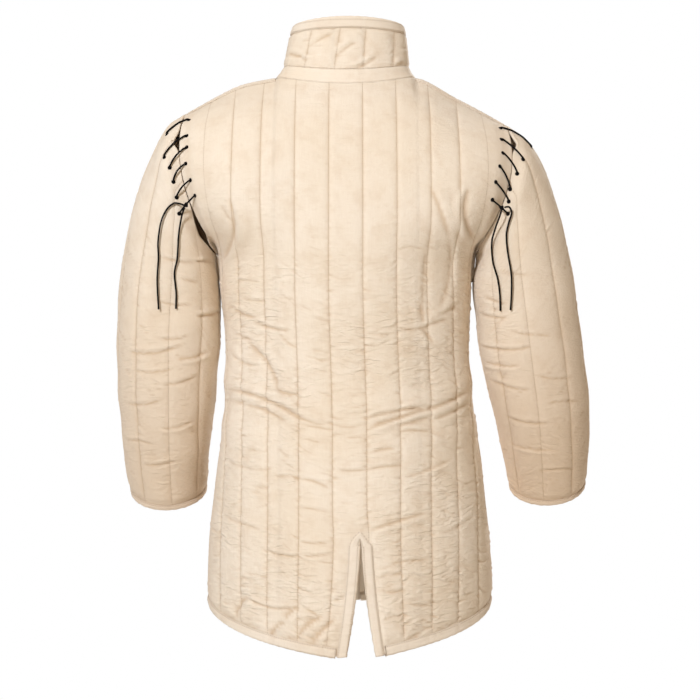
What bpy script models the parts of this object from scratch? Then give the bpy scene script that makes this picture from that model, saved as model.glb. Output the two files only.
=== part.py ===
"""A quilted gambeson, worn and hollow, with laced-on sleeves.

The frame: +Z up, the wearer faces +Y, +X is the wearer's right. The origin is the middle of the
neck opening at the height of the back neck seam. All sizes here are millimetres, and every mesh
is scaled to metres as it is made.
"""

import math

import bmesh
import bpy
import numpy as np
from mathutils import Matrix, Vector
from mathutils.bvhtree import BVHTree

MM = 0.001
PART_NAME = "gambeson"

# Cloth and sewing.
WALL = 5.0  # the padded wall at a stitched line
PUFF = 3.0  # how far the padding stands out between two lines
QUILT_PITCH = 52.0  # between two quilting lines on the body
SEAM_GAP = 0.3  # between two pieces that are sewn together
TAPE = 1.2  # the folded cloth tape of bindings
TAPE_CLEAR = 0.5  # between a tape and the plain inside of the wall
EDGE_TAPE_WIDE = 13.0
SHOULDER_TAPE_TRIM = 0.08  # the share of its width that it stays short of the seam
PIECE_TRIM = 0.5  # how far a binding ends before the next piece
VENT_TRIM = 2.0
SLEEVE_CHANNELS = 10

# Neck and shoulders.
NECK_HALF = 112.0
NECK_BACK = 66.0
NECK_FRONT = 78.0
NECK_SIDE_RISE = 18.0
NECK_FRONT_DROP = 50.0
SHOULDER_CURVE = 1.3
FRONT_EDGE = 4.8  # from the middle to a front panel's edge, under its binding

# The armhole, a leaning loop that is fuller at the back.
ARMHOLE = {"x": 228.0, "z": -155.0, "lean": 25.0, "half_height": 107.0, "half_depth": 88.0}
ARMHOLE_FULLNESS = {"back": 25.0, "front": 8.0}

# Collar.
COLLAR_TOP = {"back": 105.0, "side": 99.0, "front": 52.0}
COLLAR_WALL = 5.0
COLLAR_PUFF = 2.0
COLLAR_PROFILE = (
    # share of the height, share of the neck's size
    (0, 1), (0.1, 0.935), (0.22, 0.89), (0.5, 0.857), (0.84, 0.82), (1, 0.78),
)
BAND_HEIGHTS = (0, 0.1, 0.218)
COLLAR_HEIGHTS = (0.222, 0.35, 0.53, 0.7, 0.84, 1)

# The vent in the back's tail.
VENT_LEFT = 9.0
VENT_RIGHT = 17.0
VENT_SPREAD = 17.0
VENT_REACH = 55.0

# How the worn garment leans and how its left shoulder sits higher.
LEAN_TOP = -5.0
LEAN_HEM = 1.0
LEFT_SHOULDER_LIFT = 9.0
RIGHT_SHOULDER_DROP = 9.0
COLLAR_LEAN = 4.0  # of its top, towards the right
ARM_SPREAD = 14.0
ARM_SPREAD_ROW = 5
RIGHT_CUFF_RISE = 12.0
RIGHT_CUFF_ROW = 9

# Cross sections above the underarm. The armhole angle runs from the shoulder tip downwards.
UPPER_SECTIONS = (
    # armhole angle, back z, back depth, front z, front depth, turn at the armhole
    (28, -30, 87, -78, 92, 10),
    (52, -66, 108, -105, 108, 20),
    (73, -110, 127, -135, 120, 30),
    (92, -155, 137, -168, 128, 40),
    (112, -198, 141, -202, 131, 52),
    (138, -234, 142, -236, 131, 68),
)
# Cross sections from the underarm to the hem.
LOWER_SECTIONS = (
    # back z, side z, half width, back depth, front depth
    (-266, -262, 203.0, 141, 130),
    (-330, -322, 198.0, 134, 127),
    (-400, -385, 193.0, 125, 124),
    (-470, -450, 192.0, 123, 125),
    (-540, -516, 197.0, 133, 132),
    (-610, -580, 206.0, 148, 141),
    (-680, -643, 214.5, 160, 149),
    (-750, -706, 221.5, 168, 155),
    (-815, -764, 224.5, 172, 159),
    (-875, -815, 224.5, 174, 162),
)
FRONT_HEM_SHARE = 0.4  # of the back hem's dip below the side hem

# Rings of a sleeve below its head, for the mean of both arms.
SLEEVE_RINGS = (
    # outer x, outer z, inner x, inner z, y, half depth, tilt, fullness at the back
    (277.0, -65, 208.0, -274, 0, 90, 0, 22),
    (293.0, -84, 207.0, -284, 0, 91, 0, 17),
    (308.0, -111, 207.0, -298, 0, 90, 0, 12),
    (324.0, -149, 207.0, -316, 0, 89, 0, 8),
    (338.0, -195, 208.0, -338, 0, 88, 0, 4),
    (350.0, -250, 208.5, -366, 0, 86, 0, 1),
    (361.0, -312, 209.0, -400, 0, 84, 0, 0),
    (368.0, -375, 213.0, -438, 4, 81, 4, 0),
    (372.5, -435, 220.0, -478, 12, 78, 11, 0),
    (376.5, -492, 228.0, -518, 25, 74, 18, 0),
    (377.0, -545, 236.0, -558, 42, 70, 23, 0),
    (375.5, -597, 244.0, -601, 62, 65, 26, 0),
    (372.7, -645, 251.6, -645, 84, 61, 28, 0),
)
HEAD_GAP = ((0, 8.0), (30, 7.0), (55, 3.0), (110, 3.0), (145, 7.0), (180, 5.0))

# Large folds across the small of the back and the front, each a soft ridge along a smile.
WAIST_FOLDS = (
    # middle z, rise at the sides, ridge half width, height
    (-508, 45, 20, 3.0),
    (-574, 40, 20, 2.5),
)

# Mesh lines of the sleeves and panels.
SLEEVE_ROWS = (0, 0.3, 1, 2, 3, 4, 6, 7, 8, 9, 10, 11, 12, 12.86, 13)
SLEEVE_INNER_ROWS = (0, 0.3, 2, 4, 6, 8, 10, 12, 13)
# A panel's row 0 is the shoulder, 7 the underarm and 16 the hem.
PANEL_ROWS = (
    0, 0.2, 0.6, 1, 2, 3, 4, 5, 6, 7, 7.5, 8, 9, 10, 10.5, 11, 11.5, 12, 13.26, 14, 15, 15.79, 16,
)
INNER_ROWS = (0, 0.6, 2, 4, 6, 7, 8, 9, 10, 11, 12, 13.26, 14, 15, 15.79, 16)
UNDERARM_ROW = 7
HEM_ROW = 16
VENT_ROW = 13.26
SIDE_COLUMN = 6
LAST_LINE = 5

# Eyelets and laces.
EYELET_HOLE = 2.1
EYELET_INSET = 12.0
LACE_RADIUS = 1.4
LACE_CLEAR = 0.5  # between a lace and the cloth at its eyelet
LACE_NEAR = 0.25  # between a lace and any piece along its way
MAX_BOW = 30.0
OUTSIDE_SHARES = (0, 0.3, 0.7, 1)
INSIDE_SHARES = (0, 0.5, 1)
CORNER = 1.2  # how soon a lace lies down beside its eyelet
LACE_SAMPLES = 14  # places tested between two points of a lace
RIM = 0.4  # how far above the cloth a lace turns into its eyelet
STUB = 5.0  # the hidden ends of a lacing
DRILL_DEPTH = 46.0
BEHIND = -400.0  # a y behind the whole garment
FRONT_EYELET_SHARE = 0.9  # of the way from the edge tape to the first quilting line
BACK_EYELETS = {
    "left": (
        # on the sleeve: x, z; on the back: x, z
        (-262, -206, -237, -179),
        (-266, -181, -244, -155),
        (-271, -157, -252, -129),
        (-277, -135, -251, -103),
        (-286, -118, -252, -84),
        (-285, -79, -251, -56),
    ),
    "right": (
        (246, -206, 220, -186),
        (247, -187, 225, -159),
        (249, -168, 232, -134),
        (260, -144, 238, -112),
        (270, -121, 237, -89),
        (287, -97, 238, -68),
    ),
}
FRONT_EYELETS = (
    # armhole angle of the eyelet in the front, and of the eyelet in the sleeve
    (30, 44), (50, 62), (70, 80), (90, 99), (108, 116),
)
FRONT_LACE_ROWS = (1.2, 2.9, 4.6, 6.2, 7.6, 9.0)

# A sleeve lace's two ends are knotted together over its lowest stitch and hang free.
KNOT_SIZE = (4.6, 3.8, 3.2)  # half of its length, breadth and height
OUTWARD = (0, -1, 0)  # away from the wearer's back
LACE_END_STEP = 8.4
LACE_ENDS = {
    "left_outer": (
        (-255.2, -99.7, -193.1), (-262, -98.0, -191.0), (-270, -96.5, -190.5), (-281, -95.5, -200),
        (-290, -94.5, -220), (-294.5, -94, -250), (-294, -93.5, -275), (-296, -92.5, -310),
        (-294, -91, -353),
    ),
    "left_inner": (
        (-252.9, -101.3, -198.0), (-256.5, -100, -207), (-260, -96, -222), (-263, -93.5, -242),
        (-265, -92.5, -275), (-269.5, -91, -298), (-267, -89.5, -329), (-267.5, -88.5, -352),
    ),
    "right_outer": (
        (239.5, -102.0, -197.1), (246.5, -99.0, -196.5), (250.5, -96, -205), (246.5, -93.5, -220),
        (243, -91.5, -238), (245, -90.5, -265), (250.5, -91, -299), (251, -89, -329), (250, -86.5, -354),
    ),
    "right_inner": (
        (234.2, -102.4, -202.4), (231.5, -98.5, -212), (226.5, -86, -228), (222, -74.5, -249),
        (223.5, -73.5, -278), (230.5, -78, -305), (234, -78.5, -330), (235, -77.5, -355),
    ),
}

SURFACES = {}

CREAM = (0.80, 0.69, 0.52, 1.0)
BLACK = (0.015, 0.013, 0.013, 1.0)


def clear_scene():
    for thing in list(bpy.data.objects):
        bpy.data.objects.remove(thing, do_unlink=True)


def make_collection(name):
    collection = bpy.data.collections.new(name)
    bpy.context.scene.collection.children.link(collection)
    return collection


def material(name, colour, roughness):
    made = bpy.data.materials.new(name)
    made.use_nodes = True
    shader = made.node_tree.nodes["Principled BSDF"]
    shader.inputs["Base Color"].default_value = colour
    shader.inputs["Roughness"].default_value = roughness
    shader.inputs["Metallic"].default_value = 0.0
    return made


def unit(vectors):
    return vectors / np.maximum(np.linalg.norm(vectors, axis=-1, keepdims=True), 1e-9)


def ease(value):
    """A smooth step from 0 to 1."""
    value = np.clip(value, 0.0, 1.0)
    return value * value * (3 - 2 * value)


def spline_weights(places, count):
    """Catmull-Rom weights of `count` control rows for each fractional place."""
    table = np.zeros((len(places), count + 2))
    for line, place in enumerate(places):
        start = min(int(place), count - 2)
        f = place - start
        table[line, start:start + 4] = (
            -0.5 * f + f**2 - 0.5 * f**3,
            1 - 2.5 * f**2 + 1.5 * f**3,
            0.5 * f + 2 * f**2 - 1.5 * f**3,
            -0.5 * f**2 + 0.5 * f**3,
        )
    inner = table[:, 1:-1].copy()
    inner[:, 0] += 2 * table[:, 0]
    inner[:, 1] -= table[:, 0]
    inner[:, -1] += 2 * table[:, -1]
    inner[:, -2] -= table[:, -1]
    return inner


def bezier(p0, p1, p2, p3):
    t = np.linspace(0, 1, 90)[:, None]
    return (1 - t) ** 3 * p0 + 3 * (1 - t) ** 2 * t * p1 + 3 * (1 - t) * t**2 * p2 + t**3 * p3


# The body's form -------------------------------------------------------------------------------


def armhole(angle):
    """A point of the right armhole: 0 is the shoulder tip, negative the back, 180 the underarm."""
    turn = np.radians(angle)
    fullness = np.where(turn < 0, ARMHOLE_FULLNESS["back"], ARMHOLE_FULLNESS["front"])
    return np.stack(
        [
            ARMHOLE["x"] + ARMHOLE["lean"] * np.cos(turn) + fullness * np.sin(turn) ** 2,
            ARMHOLE["half_depth"] * np.sin(turn),
            ARMHOLE["z"] + ARMHOLE["half_height"] * np.cos(turn),
        ],
        axis=-1,
    )


def column_distance(column):
    """The distance along the cloth from the middle to a column, up to the last quilting line."""
    return QUILT_PITCH * (column - 0.5)


def top_edge(columns, face):
    """The neck curve and then the shoulder seam, for one half."""
    tip = armhole(np.array(0.0))
    across = column_distance(columns)
    share = np.clip(across / NECK_HALF, 0, 1)
    if face == "back":
        y, z = -NECK_BACK * np.sqrt(1 - share**2), NECK_SIDE_RISE * share**2
    else:
        drop = NECK_SIDE_RISE + NECK_FRONT_DROP
        y, z = NECK_FRONT * np.sqrt(1 - share**2), drop * share**2 - NECK_FRONT_DROP
    along = np.interp(columns, (0.5, 3, 4, 5, 6), (0, 130, 176, 215, tip[0]))
    beyond = np.clip((along - NECK_HALF) / (tip[0] - NECK_HALF), 0, 1)
    z = z - (NECK_SIDE_RISE - tip[2]) * beyond**SHOULDER_CURVE
    return np.stack([np.where(across > NECK_HALF, along, across), y, z], axis=-1)


def section(start, edge, turn, grip, columns, upper):
    """Points of one half cross section, which leaves the middle sideways and turns at its edge."""
    forward = -np.sign(start[1])
    heading = np.array([math.cos(math.radians(turn)), forward * math.sin(math.radians(turn)), 0])
    drop = edge[2] - start[2]
    first = start + np.array([0.55 * edge[0], 0, 0.2 * drop])
    second = edge - grip * heading - np.array([0, 0, 0.38 * drop])
    curve = bezier(start, first, second, edge)
    arc = np.concatenate([[0], np.cumsum(np.linalg.norm(np.diff(curve, axis=0), axis=1))])
    total = arc[-1]
    if upper:
        reach = np.interp(columns, (0.5, 3, 4), (0, 130, 174))
        inner = np.interp(reach, curve[:, 0], arc)
        outer_start = np.interp(174, curve[:, 0], arc)
        outer = outer_start + (total - outer_start) * (columns - 4) / 2
        places = np.where(columns > 4, outer, inner)
    else:
        inner = column_distance(columns) - start[0]
        line = column_distance(LAST_LINE) - start[0]
        outer = line + (total - line) * (columns - LAST_LINE)
        places = np.where(columns > LAST_LINE, outer, inner)
    return np.stack([np.interp(places, arc, curve[:, axis]) for axis in range(3)], axis=-1)


def half_form(face, rows, columns):
    """The stitched surface of one half of the body, as rows by columns of points with x above 0."""
    sign = -1 if face == "back" else 1
    start_x = 0.0 if face == "back" else FRONT_EDGE
    net = [top_edge(columns, face)]
    for angle, back_z, back_depth, front_z, front_depth, turn in UPPER_SECTIONS:
        z, depth = (back_z, back_depth) if face == "back" else (front_z, front_depth)
        edge = armhole(np.array(float(sign * angle)))
        start = np.array([start_x, sign * depth, z])
        net.append(section(start, edge, turn, 0.3 * edge[0], columns, True))
    for back_z, side_z, half_width, back_depth, front_depth in LOWER_SECTIONS:
        share = 1.0 if face == "back" else FRONT_HEM_SHARE
        depth = back_depth if face == "back" else front_depth
        start = np.array([start_x, sign * depth, side_z + share * (back_z - side_z)])
        edge = np.array([half_width, 0.0, side_z])
        net.append(section(start, edge, 87, 0.56 * depth, columns, False))
    points = np.einsum("rn,ncx->rcx", spline_weights(rows, len(net)), np.array(net))
    points[:, columns == SIDE_COLUMN] = side_edge(sign, rows)[:, None]
    return points


def side_edge(sign, rows):
    """The armhole down to the underarm and then the side seam, the same for back and front."""
    angles = [0] + [line[0] for line in UPPER_SECTIONS] + [180]
    seam = np.array([[line[2], 0.0, line[1]] for line in LOWER_SECTIONS])
    rows = np.asarray(rows, dtype=float)
    hole = armhole(sign * np.interp(rows, range(len(angles)), angles))
    low = spline_weights(np.clip(rows - UNDERARM_ROW, 0, None), len(seam)) @ seam
    return np.where(rows[:, None] < UNDERARM_ROW, hole, low)


def worn(points):
    """The lean of the whole garment, and one shoulder lifted and the other dropped."""
    x, z = points[..., 0], points[..., 2]
    lean = LEAN_TOP + (LEAN_HEM - LEAN_TOP) * ease((-300 - z) / 260)
    reach = ease((np.abs(x) - NECK_HALF) / 70) * (1 - ease((np.abs(x) - 270) / 80))
    lift = np.where(x < 0, LEFT_SHOULDER_LIFT, -RIGHT_SHOULDER_DROP) * reach * ease((z + 260) / 200)
    return points + np.stack([lean, np.zeros_like(x), lift], axis=-1)


def grid_normals(points, inside_out=False, closed=False):
    """Unit normals of a grid of points, which point out of the garment."""
    if closed:
        ring = np.concatenate([points[:, -1:], points, points[:, :1]], axis=1)
        across = (ring[:, 2:] - ring[:, :-2]) / 2
    else:
        across = np.gradient(points, axis=1)
    normals = unit(np.cross(np.gradient(points, axis=0), across))
    return -normals if inside_out else normals


def puff(rows, columns, sides):
    """How far the padding stands out at each row and column of a panel; `sides` is its s."""
    rows, columns = np.meshgrid(rows, columns, indexing="ij")
    sides = np.broadcast_to(sides, rows.shape)
    to_line = np.abs(columns - np.round(columns)) * QUILT_PITCH
    last = np.clip(1 - np.abs(columns - LAST_LINE), 0, 1)
    fade_line = 1 - ease(rows - 5.5)
    valley = (1 - np.clip(to_line / 17, 0, 1)) ** 2
    valley = valley * (1 - fade_line * (last > 0.5))
    height = 1 - valley
    height *= ease(rows / 0.9 - 0.25) * ease((15.79 - rows) / 0.6)
    armhole_near = (1 - ease((SIDE_COLUMN - columns - 0.2) / 0.5)) * (1 - ease((rows - 7) / 1.5))
    height *= 1 - armhole_near
    vent_middle = (VENT_LEFT + VENT_RIGHT) / 2
    vent_near = 1 - ease((np.abs(sides - vent_middle) - 19) / 8)
    height *= 1 - vent_near * ease((rows - VENT_ROW + 0.3) / 0.3)
    return PUFF * height


def waist_folds(points):
    """The large folds' height at each point."""
    x, z = points[..., 0], points[..., 2]
    height = np.zeros_like(z)
    for middle, rise, half_width, tall in WAIST_FOLDS:
        ridge = middle + rise * (x / 200) ** 2
        height += tall * np.exp(-((z - ridge) / half_width) ** 2)
    return height


def spread_vent(points, sides, rows):
    """The two tails swing apart below the top of the vent."""
    down = ease((np.asarray(rows) - VENT_ROW) / (HEM_ROW - VENT_ROW) * 0.5) * 2
    away = np.sign(sides - (VENT_LEFT + VENT_RIGHT) / 2)
    near = np.exp(-(np.maximum(np.abs(sides - 13) - 4, 0) / VENT_REACH) ** 1.5)
    moved = points.copy()
    moved[..., 0] += VENT_SPREAD * down[:, None] * (away * near)[None, :]
    return moved


# Solids ----------------------------------------------------------------------------------------


def finish(name, mesh_data, shade, parent):
    bmesh.ops.remove_doubles(mesh_data, verts=mesh_data.verts, dist=0.001)
    bmesh.ops.recalc_face_normals(mesh_data, faces=mesh_data.faces)
    bmesh.ops.scale(mesh_data, vec=(MM, MM, MM), verts=mesh_data.verts)
    mesh = bpy.data.meshes.new(name)
    mesh_data.to_mesh(mesh)
    mesh_data.free()
    mesh.materials.append(shade)
    made = bpy.data.objects.new(name, mesh)
    parent.objects.link(made)
    return made


def stitch(mesh_data, fine, coarse):
    """Closes the strip between a chain of outer points and the two inner points below its ends."""
    count = len(fine) - 1
    half = count // 2
    for step in range(half):
        mesh_data.faces.new((fine[step], fine[step + 1], coarse[0]))
    if count % 2:
        mesh_data.faces.new((fine[half], fine[half + 1], coarse[1], coarse[0]))
    else:
        mesh_data.faces.new((fine[half], coarse[1], coarse[0]))
    for step in range(count - half, count):
        mesh_data.faces.new((fine[step], fine[step + 1], coarse[1]))


def wall(name, outer, inner, inner_rows, inner_columns, shade, parent, closed=False, cut=None):
    """A closed wall with a fine outer grid, a plain inner grid and rims along every free edge.

    `inner_rows` and `inner_columns` number the outer lines that the inner grid has too. `cut`
    tells the cells, by their first row and column, that are left out.
    """
    mesh_data = bmesh.new()
    cut = cut or (lambda row, column: False)
    rows, columns = outer.shape[:2]
    skin = [[mesh_data.verts.new(p) for p in line] for line in outer]
    back = {(r, c): mesh_data.verts.new(inner[r, c]) for r in inner_rows for c in inner_columns}
    for r in range(rows - 1):
        for c in range(columns - (not closed)):
            d = (c + 1) % columns
            if not cut(r, c):
                mesh_data.faces.new((skin[r][c], skin[r][d], skin[r + 1][d], skin[r + 1][c]))
    row_steps = list(zip(inner_rows, inner_rows[1:]))
    column_steps = list(zip(inner_columns, inner_columns[1:]))
    if closed:
        column_steps.append((inner_columns[-1], columns))
    kept = {
        (i, j)
        for i, (r, _) in enumerate(row_steps)
        for j, (c, _) in enumerate(column_steps)
        if not cut(r, c)
    }
    for i, j in kept:
        (r0, r1), (c0, c1) = row_steps[i], column_steps[j]
        c1_in = c1 % columns
        mesh_data.faces.new((back[r0, c0], back[r1, c0], back[r1, c1_in], back[r0, c1_in]))
        for row, near in ((r0, i - 1), (r1, i + 1)):
            if (near, j) not in kept:
                chain = [skin[row][c % columns] for c in range(c0, c1 + 1)]
                stitch(mesh_data, chain, (back[row, c0], back[row, c1_in]))
        for column, near in ((c0, j - 1), (c1_in, j + 1)):
            if closed:
                near %= len(column_steps)
            if (i, near) not in kept:
                chain = [skin[r][column] for r in range(r0, r1 + 1)]
                stitch(mesh_data, chain, (back[r0, column], back[r1, column]))
    loose = [vert for vert in mesh_data.verts if not vert.link_faces]
    bmesh.ops.delete(mesh_data, geom=loose, context="VERTS")
    return finish(name, mesh_data, shade, parent)


def between(inner, inner_rows, inner_columns, columns):
    """The plain inner grid read at every outer row and column, straight between its own lines."""
    rows = inner.shape[0]
    lines = np.array(inner_rows)
    stations = np.array(inner_columns)
    period = columns if stations[-1] < inner.shape[1] - 1 else None
    full = np.empty_like(inner)
    for axis in range(3):
        coarse = inner[np.ix_(lines, stations)][..., axis]
        across = np.array([np.interp(range(columns), stations, line, period=period) for line in coarse])
        full[..., axis] = np.array([np.interp(range(rows), lines, line) for line in across.T]).T
    return full


def binding(name, stations, shade, parent, closed=False, turned=False):
    """A folded tape round an edge. Each station gives the outer wall away from the edge and at it,
    the inner wall at the edge and away from it, both normals, and the way out past the edge.
    `turned` splits the faces the other way, as the wall below splits them."""
    mesh_data = bmesh.new()
    rings = []
    for outer_far, outer_edge, inner_edge, inner_far, far_normal, normal, out in stations:
        near, far = SEAM_GAP, SEAM_GAP + TAPE
        under, below = TAPE_CLEAR, TAPE_CLEAR + TAPE
        ring = [
            outer_far + far_normal * far,
            outer_edge + (normal + out) * far,
            inner_edge + out * far - normal * below,
            inner_far - far_normal * below,
            inner_far - far_normal * under,
            inner_edge + out * near - normal * under,
            outer_edge + (normal + out) * near,
            outer_far + far_normal * near,
        ]
        rings.append([mesh_data.verts.new(point) for point in ring])
    size = len(rings[0])
    for first, second in zip(rings, rings[1:] + (rings[:1] if closed else [])):
        for corner in range(size):
            after = (corner + 1) % size
            face = [first[corner], first[after], second[after], second[corner]]
            if corner == 5 or (corner != 1 and (corner in (2, 6)) != turned):
                face = face[1:] + face[:1]
            mesh_data.faces.new(face)
    if not closed:
        for ring in (rings[0], rings[-1]):
            for corner in range(size // 2 - 1):
                mirror = size - 1 - corner
                mesh_data.faces.new((ring[corner], ring[corner + 1], ring[mirror - 1], ring[mirror]))
    return finish(name, mesh_data, shade, parent)


def tube(name, route, shade, parent, resolution):
    """A lace as a bevelled curve with closed ends."""
    curve = bpy.data.curves.new(name, "CURVE")
    curve.dimensions = "3D"
    curve.bevel_depth = LACE_RADIUS * MM
    curve.bevel_resolution = resolution
    curve.use_fill_caps = True
    line = curve.splines.new("POLY")
    line.points.add(len(route) - 1)
    for point, place in zip(line.points, route):
        point.co = (*(np.asarray(place) * MM), 1.0)
    curve.materials.append(shade)
    made = bpy.data.objects.new(name, curve)
    parent.objects.link(made)
    return made


# Panels ----------------------------------------------------------------------------------------


class Panel:
    """One quilted panel: its grid, its normals and its two faces."""

    def __init__(self, face, side, rows, columns, sides):
        self.rows, self.columns = np.array(rows, float), np.array(columns, float)
        self.sides = np.array(sides, float)
        halves = half_form(face, rows, np.abs(self.columns))
        halves[..., 0] *= np.sign(self.columns) * side
        if face == "back":
            halves = spread_vent(halves, self.sides, rows)
        self.base = worn(halves)
        self.normals = grid_normals(self.base, inside_out=(face == "front" and side > 0))

    def shape(self, inner_rows, inner_columns):
        height = puff(self.rows, np.abs(self.columns), self.sides)
        fold = waist_folds(self.base)[..., None] * self.normals
        self.inner_rows, self.inner_columns = inner_rows, inner_columns
        self.outer = self.base + fold + self.normals * height[..., None]
        inner = self.base + fold - self.normals * WALL
        self.inner = between(inner, inner_rows, inner_columns, len(self.columns))


def channel_columns():
    """The mesh columns of a half from the first quilting line to the side, as c and coarse flags."""
    neck = 0.5 + NECK_HALF / QUILT_PITCH
    lines = [(1, True), (1 + 1 / 3, False), (1 + 2 / 3, False), (2, True), (2.33, False), (2.54, False)]
    lines += [(neck, True)]
    for start in (3, 4, 5):
        lines += [(start, True), (start + 1 / 3, False), (start + 2 / 3, False)]
    return lines + [(SIDE_COLUMN, True)]


def make_panels():
    """The back and the two fronts, which share their seams' points and normals."""
    half = channel_columns()
    middle = [(0.5 - 5 / QUILT_PITCH, True)]
    middle += [(0.5 + place / QUILT_PITCH, True) for place in (VENT_LEFT, VENT_RIGHT)]
    back_columns = [-c for c, _ in reversed(half)] + [c for c, _ in middle] + [c for c, _ in half]
    back_flags = [f for _, f in reversed(half)] + [f for _, f in middle] + [f for _, f in half]
    back_sides = [np.sign(c) * column_distance(abs(c)) for c in back_columns]
    edge = 0.5 + FRONT_EDGE / QUILT_PITCH
    tape = edge + EDGE_TAPE_WIDE / QUILT_PITCH
    front_columns = [edge, tape] + [c for c, _ in half]
    front_flags = [True, True] + [f for _, f in half]
    front_sides = [1e3] * len(front_columns)
    back = Panel("back", 1, PANEL_ROWS, back_columns, back_sides)
    left = Panel("front", -1, PANEL_ROWS, front_columns, front_sides)
    right = Panel("front", 1, PANEL_ROWS, front_columns, front_sides)
    share_seams(back, left, right)
    inner_rows = [PANEL_ROWS.index(row) for row in INNER_ROWS]
    back.shape(inner_rows, [i for i, flag in enumerate(back_flags) if flag])
    for front in (left, right):
        front.shape(inner_rows, [i for i, flag in enumerate(front_flags) if flag])
    return back, left, right


def share_seams(back, left, right):
    """Gives both sides of each seam the same normals and moves them half a gap apart."""
    underarm = list(back.rows).index(UNDERARM_ROW)
    neck = [i for i, c in enumerate(right.columns) if c >= 0.5 + NECK_HALF / QUILT_PITCH - 1e-6]
    for front, mirror in ((left, True), (right, False)):
        pairs = [((r, 0 if mirror else -1), (r, -1)) for r in range(underarm, len(back.rows))]
        for place in neck:
            from_side = len(front.columns) - 1 - place
            column = from_side if mirror else len(back.columns) - 1 - from_side
            pairs.append(((0, column), (0, place)))
        for at_back, at_front in pairs:
            normal = unit(back.normals[at_back] + front.normals[at_front])
            back.normals[at_back] = front.normals[at_front] = normal
            back.base[at_back][1] -= SEAM_GAP / 2
            front.base[at_front][1] += SEAM_GAP / 2


def vent_cut(back):
    """The cells of the back that the vent leaves out."""
    top = list(back.rows).index(VENT_ROW)
    column = int(np.argmin(np.abs(back.sides - VENT_LEFT)))
    return lambda row, place: row >= top and place == column


def edge_stations(piece, at, beside, along_columns, span, trim=(0.0, 0.0)):
    """Stations of a binding along a row or a column of a piece; `trim` shortens its two ends."""
    stations = []
    for place in span:
        edge, far = ((at, place), (beside, place)) if along_columns else ((place, at), (place, beside))
        normal = piece.normals[edge]
        out = piece.base[edge] - piece.base[far]
        out = unit(out - normal * out.dot(normal))
        stations.append(np.array([piece.outer[far], piece.outer[edge], piece.inner[edge],
                                  piece.inner[far], piece.normals[far], normal, out]))
    for end, near, cut in ((0, 1, trim[0]), (-1, -2, trim[1])):
        if cut:
            length = np.linalg.norm(stations[near][1] - stations[end][1])
            stations[end] = stations[end] + (stations[near] - stations[end]) * cut / length
    return stations


def make_body_bindings(back, left, right, tape, parts):
    """Tapes round the hem, the vent and the front edges, and over the shoulder seams."""
    hem, far = len(PANEL_ROWS) - 1, len(PANEL_ROWS) - 2
    vent_top = PANEL_ROWS.index(VENT_ROW)
    vent_left = int(np.argmin(np.abs(back.sides - VENT_LEFT)))
    vent_right = vent_left + 1
    sides = {"left": (vent_left, vent_left - 1), "right": (vent_right, vent_right + 1)}
    tails = range(vent_top, len(PANEL_ROWS))
    for side, (edge, beside) in sides.items():
        front = left if side == "left" else right
        stations = edge_stations(back, edge, beside, False, tails, (PIECE_TRIM, -TAPE))
        binding("vent_binding_" + side, stations, tape, parts, turned=edge < beside)
        span, trim = range(0, beside + 1), (PIECE_TRIM, VENT_TRIM)
        if side == "right":
            span, trim = range(beside, len(back.columns)), (VENT_TRIM, PIECE_TRIM)
        binding("hem_binding_back_" + side, edge_stations(back, hem, far, True, span, trim), tape, parts)
        span = range(1, len(front.columns))
        stations = edge_stations(front, hem, far, True, span, (PIECE_TRIM, PIECE_TRIM))
        binding("hem_binding_front_" + side, stations, tape, parts)
        stations = edge_stations(front, 0, 1, False, range(len(PANEL_ROWS)), (PIECE_TRIM, -TAPE))
        binding("front_binding_" + side, stations, tape, parts, turned=True)
    for side in sides:
        columns = shoulder_columns(back, side)
        lower = back.outer[:2, columns] + back.normals[:2, columns] * SEAM_GAP
        lower[:, 0] += (lower[:, 1] - lower[:, 0]) * SHOULDER_TAPE_TRIM
        upper = lower + back.normals[:2, columns] * TAPE
        every = list(range(len(columns)))
        wall("shoulder_tape_" + side, upper, lower, [0, 1], every, tape, parts)


def shoulder_columns(back, side):
    """The back's columns along one shoulder seam, from the neck to the tip."""
    sign = -1 if side == "left" else 1
    inner = 0.5 + NECK_HALF / QUILT_PITCH
    places = [i for i, c in enumerate(back.columns) if sign * c >= inner - 1e-6]
    return places if side == "right" else places[::-1]


# Sleeves ---------------------------------------------------------------------------------------


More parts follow.
